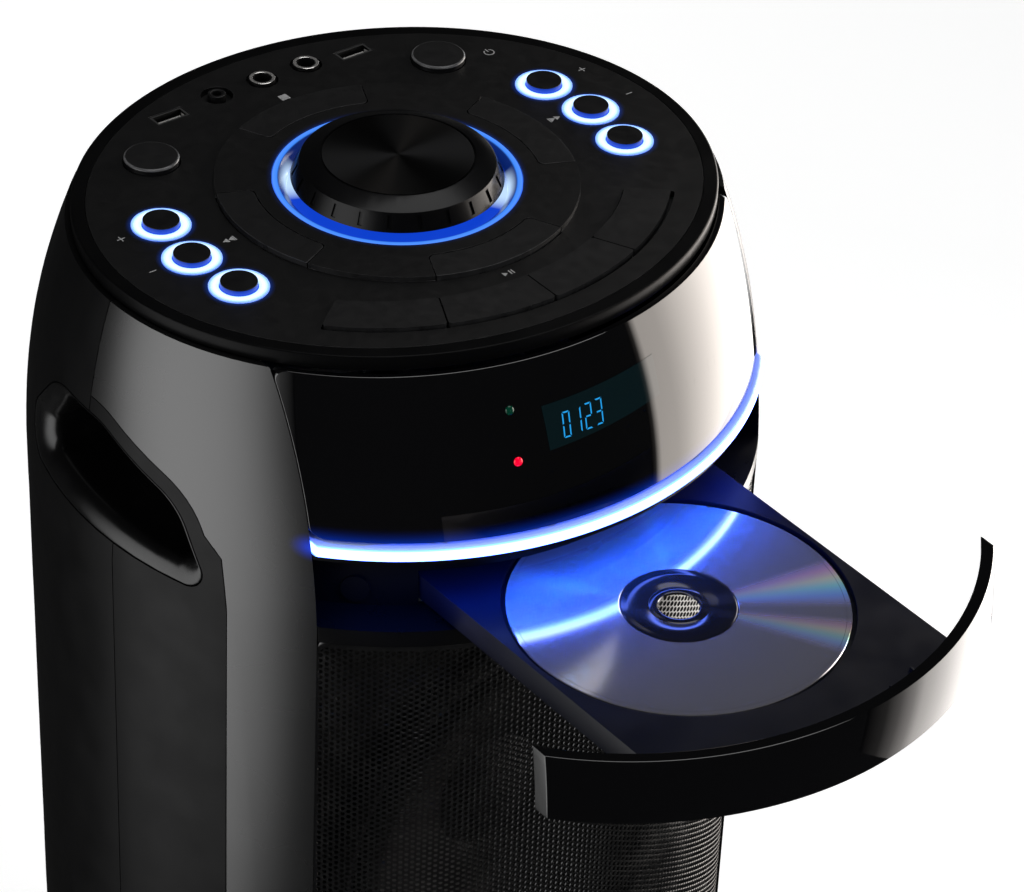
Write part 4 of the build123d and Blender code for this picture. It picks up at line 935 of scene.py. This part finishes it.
def handle_loop(lip):
    """Handle outline in the side view as (y, z) points, moved in by a share of the lip."""
    front = -HANDLE_LEN / 2 + lip * MOUTH_IN[0]
    rear = HANDLE_LEN / 2 - lip * MOUTH_IN[1]
    top = HANDLE_H / 2 - lip * MOUTH_IN[2]
    bottom = -HANDLE_H / 2 + lip * MOUTH_IN[3]
    corners = [Vector(p) for p in ((front, bottom), (rear, bottom + 0.125 * HANDLE_H), (rear, 0.0),
                                   (0.6 * rear, top), (0.0, top), (0.72 * front, 0.35 * top))]
    rear_r = HANDLE_R * (2 - lip)
    arcs = []
    for i, radius in enumerate((HANDLE_R, rear_r, rear_r, ARCH_R, ARCH_R, ARCH_R)):
        here = corners[i]
        back = (corners[i - 1] - here).normalized()
        ahead = (corners[(i + 1) % len(corners)] - here).normalized()
        half = back.angle(ahead) / 2
        middle = here + (back + ahead).normalized() * (radius / sin(half))
        reach = radius / tan(half)
        arcs.append((here + back * reach, middle, here + ahead * reach, radius))
    points = []
    for (first, middle, last, radius), following in zip(arcs, arcs[1:] + arcs[:1]):
        points += [middle + (first - middle).lerp(last - middle, k / 8).normalized() * radius for k in range(9)]
        points += [last.lerp(following[0], k / 8) for k in range(1, 8)]
    return [(HANDLE_Y + p.x, PANEL - HANDLE_LEVEL + p.y) for p in points]


def make_handles():
    """Cups of the carry handles: a lip that rolls in from the body's surface, and a deep pocket."""
    for side, name in ((1, "handle_cup_right"), (-1, "handle_cup_left")):
        verts = []
        for lip, depth in LIP:
            for y, z in handle_loop(lip):
                half_w, half_d, centre = oval(z)
                verts.append((side * (half_w * sqrt(1 - ((y - centre) / half_d) ** 2) - depth), y, z))
        for lip, x in ((1.0, CUP_FLOOR_X + 0.001), (1.04, CUP_FLOOR_X)):
            verts += [(side * x, y, z) for y, z in handle_loop(lip)]
        rings = len(LIP) + 2
        n = len(verts) // rings
        faces = between_rings(rings, n) + [tuple(range((rings - 1) * n, rings * n))]
        cup = recalc(piece(name, verts, faces, use("cup_black")))
        outward = sum(face.normal.x * side * face.area for face in cup.data.polygons)
        if outward < 0:
            cup.data.flip_normals()
        sharpen(cup, 50)
        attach(cup, "cabinet")
        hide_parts("handle_cups")


# ---------------- display behind the window
def glass(name, colour, strength, rough=0.04):
    """Smoked gloss that glows unevenly."""
    s = Shader(name, (0.0016, 0.0016, 0.002), rough, specular=1.0)
    value = s.spread(s.noise(600, 3.0), 0.0, 1.0, 0.85 * strength, 1.15 * strength)
    return s.glow(colour, value).mat


def patch(name, outline, mat, out, steps=12):
    """Sheet that lies on the window: a quad of (x, level) corners in millimetres, divided to follow the curve."""
    verts, faces = [], []
    for quad in outline:
        start = len(verts)
        (ax, al), (bx, bl), (cx, cl), (dx, dl) = quad
        for i in range(steps + 1):
            t = i / steps
            for j in range(3):
                v = j / 2
                x = (ax + (bx - ax) * t) * (1 - v) + (dx + (cx - dx) * t) * v
                level = (al + (bl - al) * t) * (1 - v) + (dl + (cl - dl) * t) * v
                verts.append(on_body(x * MM, level * MM, out))
        for i in range(steps):
            for j in range(2):
                k = start + i * 3 + j
                faces.append((k, k + 3, k + 4, k + 1))
    obj = piece(name, verts, faces, mat)
    bm = bmesh.new()
    bm.from_mesh(obj.data)
    bmesh.ops.recalc_face_normals(bm, faces=bm.faces)
    for face in bm.faces:
        if face.normal.y > 0:
            face.normal_flip()
    bm.to_mesh(obj.data)
    bm.free()
    follow_body(obj, 0.0)
    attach(obj, "cabinet")
    return obj


def make_display():
    """Lit field with plain digits, and two indicator lamps, all on the window."""
    field = patch("display_field", [[(-25, 21.5), (24.5, 19.5), (24.5, 33.0), (-25, 36.5)]],
                  glass("display_glass", (0.03, 0.5, 0.62), 0.011), 0.00015, steps=24)
    # seven-segment digits that lean a little: 0 1 2 3
    width, height, stroke, lean = 3.0, 8.6, 0.5, 0.10
    half, g = height / 2, 0.25
    quads = []
    for place, segments in enumerate(("abcdef", "bc", "abged", "abgcd")):
        x0 = -19.0 + 4.5 * place
        top = 25.2 - 0.18 * place

        def at(x, y):
            return x0 + x + lean * (height - y), top + y

        runs = {
            "a": [at(g, 0), at(width - g, 0), at(width - g - stroke, stroke), at(g + stroke, stroke)],
            "d": [at(g + stroke, height - stroke), at(width - g - stroke, height - stroke), at(width - g, height),
                  at(g, height)],
            "g": [at(g + 0.3, half - stroke / 2), at(width - g - 0.3, half - stroke / 2),
                  at(width - g - 0.3, half + stroke / 2), at(g + 0.3, half + stroke / 2)],
            "f": [at(0, g), at(stroke, g + stroke), at(stroke, half - g - 0.2), at(0, half - g)],
            "e": [at(0, half + g), at(stroke, half + g + 0.2), at(stroke, height - g - stroke), at(0, height - g)],
            "b": [at(width - stroke, g + stroke), at(width, g), at(width, half - g),
                  at(width - stroke, half - g - 0.2)],
            "c": [at(width - stroke, half + g + 0.2), at(width, half + g), at(width, height - g),
                  at(width - stroke, height - g - stroke)],
        }
        quads += [runs[k] for k in segments]
    digits = patch("display_digits", quads, glass("display_light", (0.02, 0.42, 1.0), 0.85, 0.1), 0.00019,
                   steps=2)
    for name, x, level, colour, strength in (("charge_lamp", -36.9, 37.7, (1.0, 0.0, 0.03), 1.1),
                                             ("pair_lamp", -36.2, 20.5, (0.0, 0.12, 0.06), 0.01)):
        centre = on_body(x * MM, level * MM)
        normal = body_normal(centre)
        profile = [(0.00165, -0.0002), (0.00165, 0.00005), (0.0014, 0.0004), (0.0009, 0.0007), (0.0004, 0.00085),
                   (0.00002, 0.0009), (0.00002, -0.0002)]
        bulb = recalc(lathe(name, profile, steps=32))
        turn = Vector((0, 0, 1)).rotation_difference(normal).to_matrix().to_4x4()
        bulb.data.transform(Matrix.Translation(centre) @ turn)
        s = Shader(name, tuple(0.4 * c for c in colour), 0.15)
        s.glow(colour, s.spread(s.noise(900, 3.0), 0.3, 0.7, 0.7 * strength, strength))
        paint(bulb, s.mat)
        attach(bulb, "cabinet")


# ---------------- printed marks on the panel
def mark(name, shapes, place):
    """Flat printed mark: polygons in millimetres, moved to its place on the panel."""
    verts, faces = [], []
    for shape in shapes:
        start = len(verts)
        for x, y in shape:
            verts.append(((place[0] + x) * MM, (place[1] + y) * MM, PANEL + 0.00004))
        faces.append(tuple(range(start, len(verts))))
    obj = piece(name, verts, faces, use("white_ink"), smooth=False)
    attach(obj, "cabinet")


def bar(x, y, w, h):
    return [(x + i * w / 2, y + j * h / 2) for i, j in ((-1, -1), (1, -1), (1, 1), (-1, 1))]


def arc_band(radius, width, start, end, steps=24):
    quads = []
    r0, r1 = radius - width / 2, radius + width / 2
    for k in range(steps):
        a0, a1 = (radians(start + (end - start) * i / steps) for i in (k, k + 1))
        quads.append([(r * cos(a), r * sin(a)) for r, a in ((r0, a0), (r1, a0), (r1, a1), (r0, a1))])
    return quads


def make_marks():
    """Generic symbols beside the keys, placed in millimetres from the panel's middle."""
    plus = [bar(0, 0, 3.2, 0.45), bar(0, 0.91, 0.45, 1.37), bar(0, -0.91, 0.45, 1.37)]
    minus = [bar(0, 0, 2.8, 0.45)]
    back = [[(0, 0), (2.3, -1.4), (2.3, 1.4)], [(2.3, 0), (4.6, -1.4), (4.6, 1.4)]]
    both_ways = [[(x - 2.3, y) for x, y in tri] for tri in back] + [bar(2.7, 0, 0.45, 2.8)]
    play = [[(-2.9, -1.2), (-0.9, 0), (-2.9, 1.2)], bar(0.1, 0, 0.5, 2.4), bar(1.2, 0, 0.5, 2.4)]
    power = arc_band(1.9, 0.45, 120, 420) + [bar(0, 1.5, 0.45, 2.2)]
    mark("mark_plus_left", plus, (-102.4, 24.0))
    mark("mark_minus_left", minus, (-104.7, 0.7))
    mark("mark_plus_right", plus, (104.7, 24.8))
    mark("mark_minus_right", minus, (108.2, 1.2))
    mark("mark_skip_left", both_ways, (-72.0, 2.3))
    mark("mark_skip_right", [[(-x, y) for x, y in shape][::-1] for shape in both_ways], (74.2, 2.6))
    mark("mark_power", power, (83.6, 54.5))
    mark("mark_stop", [bar(0, 0, 3.6, 3.6)], (0.7, 70.9))
    mark("mark_play", play, (-3.3, -69.9))


# ---------------- sockets
SOCKET_Y = 0.086


def make_sockets():
    """Chrome ring and dark barrel of each round socket, over the socket's housing."""
    for name, x, hole, ring, finish in (("microphone_ring_1", 1.5, 3.2, 5.1, "chrome"),
                                        ("microphone_ring_2", 21.4, 3.2, 5.1, "chrome"),
                                        ("line_in_ring", -18.9, 1.8, 3.4, "satin_black")):
        z = PANEL + 0.0008
        r0, r1 = hole * MM, ring * MM
        profile = [(r1 - 0.0001, z - 0.0006), (r1 - 0.0001, z - 0.0002), (r1 - 0.0004, z + 0.0001),
                   (r1 - 0.0009, z + 0.00014), (r0 + 0.0006, z + 0.0001), (r0 + 0.0002, z - 0.0002),
                   (r0 + 0.0001, z - 0.0030), (r0 + 0.0003, z - 0.0030), (r0 + 0.0005, z - 0.0006)]
        obj = recalc(lathe(name, profile, use(finish), centre=(x * MM, SOCKET_Y, 0), steps=64))
        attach(obj, "cabinet")


# ---------------- the CAD nodes' finishes
DRESS = {
    "recess_black": ("tray_surround",),
    "satin_black": ("base", "woofer_trim_rings", "volume_encoder", "mains_inlet", "turntable", "optical_pickup",
                    "jack_sockets", "service_panel"),
    "rubber_black": ("woofer_surrounds", "rubber_feet"),
    "paper_cone": ("upper_woofer_cone", "lower_woofer_cone"),
    "steel_part": ("woofer_baskets", "panel_screws", "clamper_bridge", "spindle_motor", "sled_rods", "tray_motor"),
    "white_plastic": ("loader_chassis", "disc_clamper", "tray_gear", "compact_disc"),
    circuit_green: ("display_module", "control_board", "power_board"),
    "black_board": ("baffle",),
    "battery_case": ("battery_pack",),
    socket_metal: ("usb_ports",),
    "grille_paint": ("speaker_grille",),
    key_black: ("rocker_switch",),
}


def dress_nodes():
    for finish, names in DRESS.items():
        for n in names:
            paint(nodes[n], use(finish))


def make_shells():
    refined("front_shell", 0.0004, use(shell_gloss), body_shift=0.0)
    for n in ("rear_shell", "side_panels"):
        refined(n, 0.0004, use("side_black"), body_shift=0.0)
    refined("display_window", 0.0005, use(mirror_gloss), body_shift=0.0)
    refined("tray_bezel", 0.0005, use(bezel_gloss), body_shift=-TRAY_OUT)
    refined("top_bezel_ring", 0.0003, use("rim_black"))
    refined("top_panel", 0.0003, use(panel_black))
    refined("disc_tray", 0.0003, use("tray_black"))
    for n in nodes:
        if n.endswith("_button"):
            refined(n, 0.00025, use(lit_key if n.startswith(("left_", "right_")) else key_black))


make_camera()
make_stage()
dress_nodes()
make_shells()
make_lights()
make_knob()
make_disc()
make_handles()
make_display()
make_marks()
make_sockets()
make_grille()
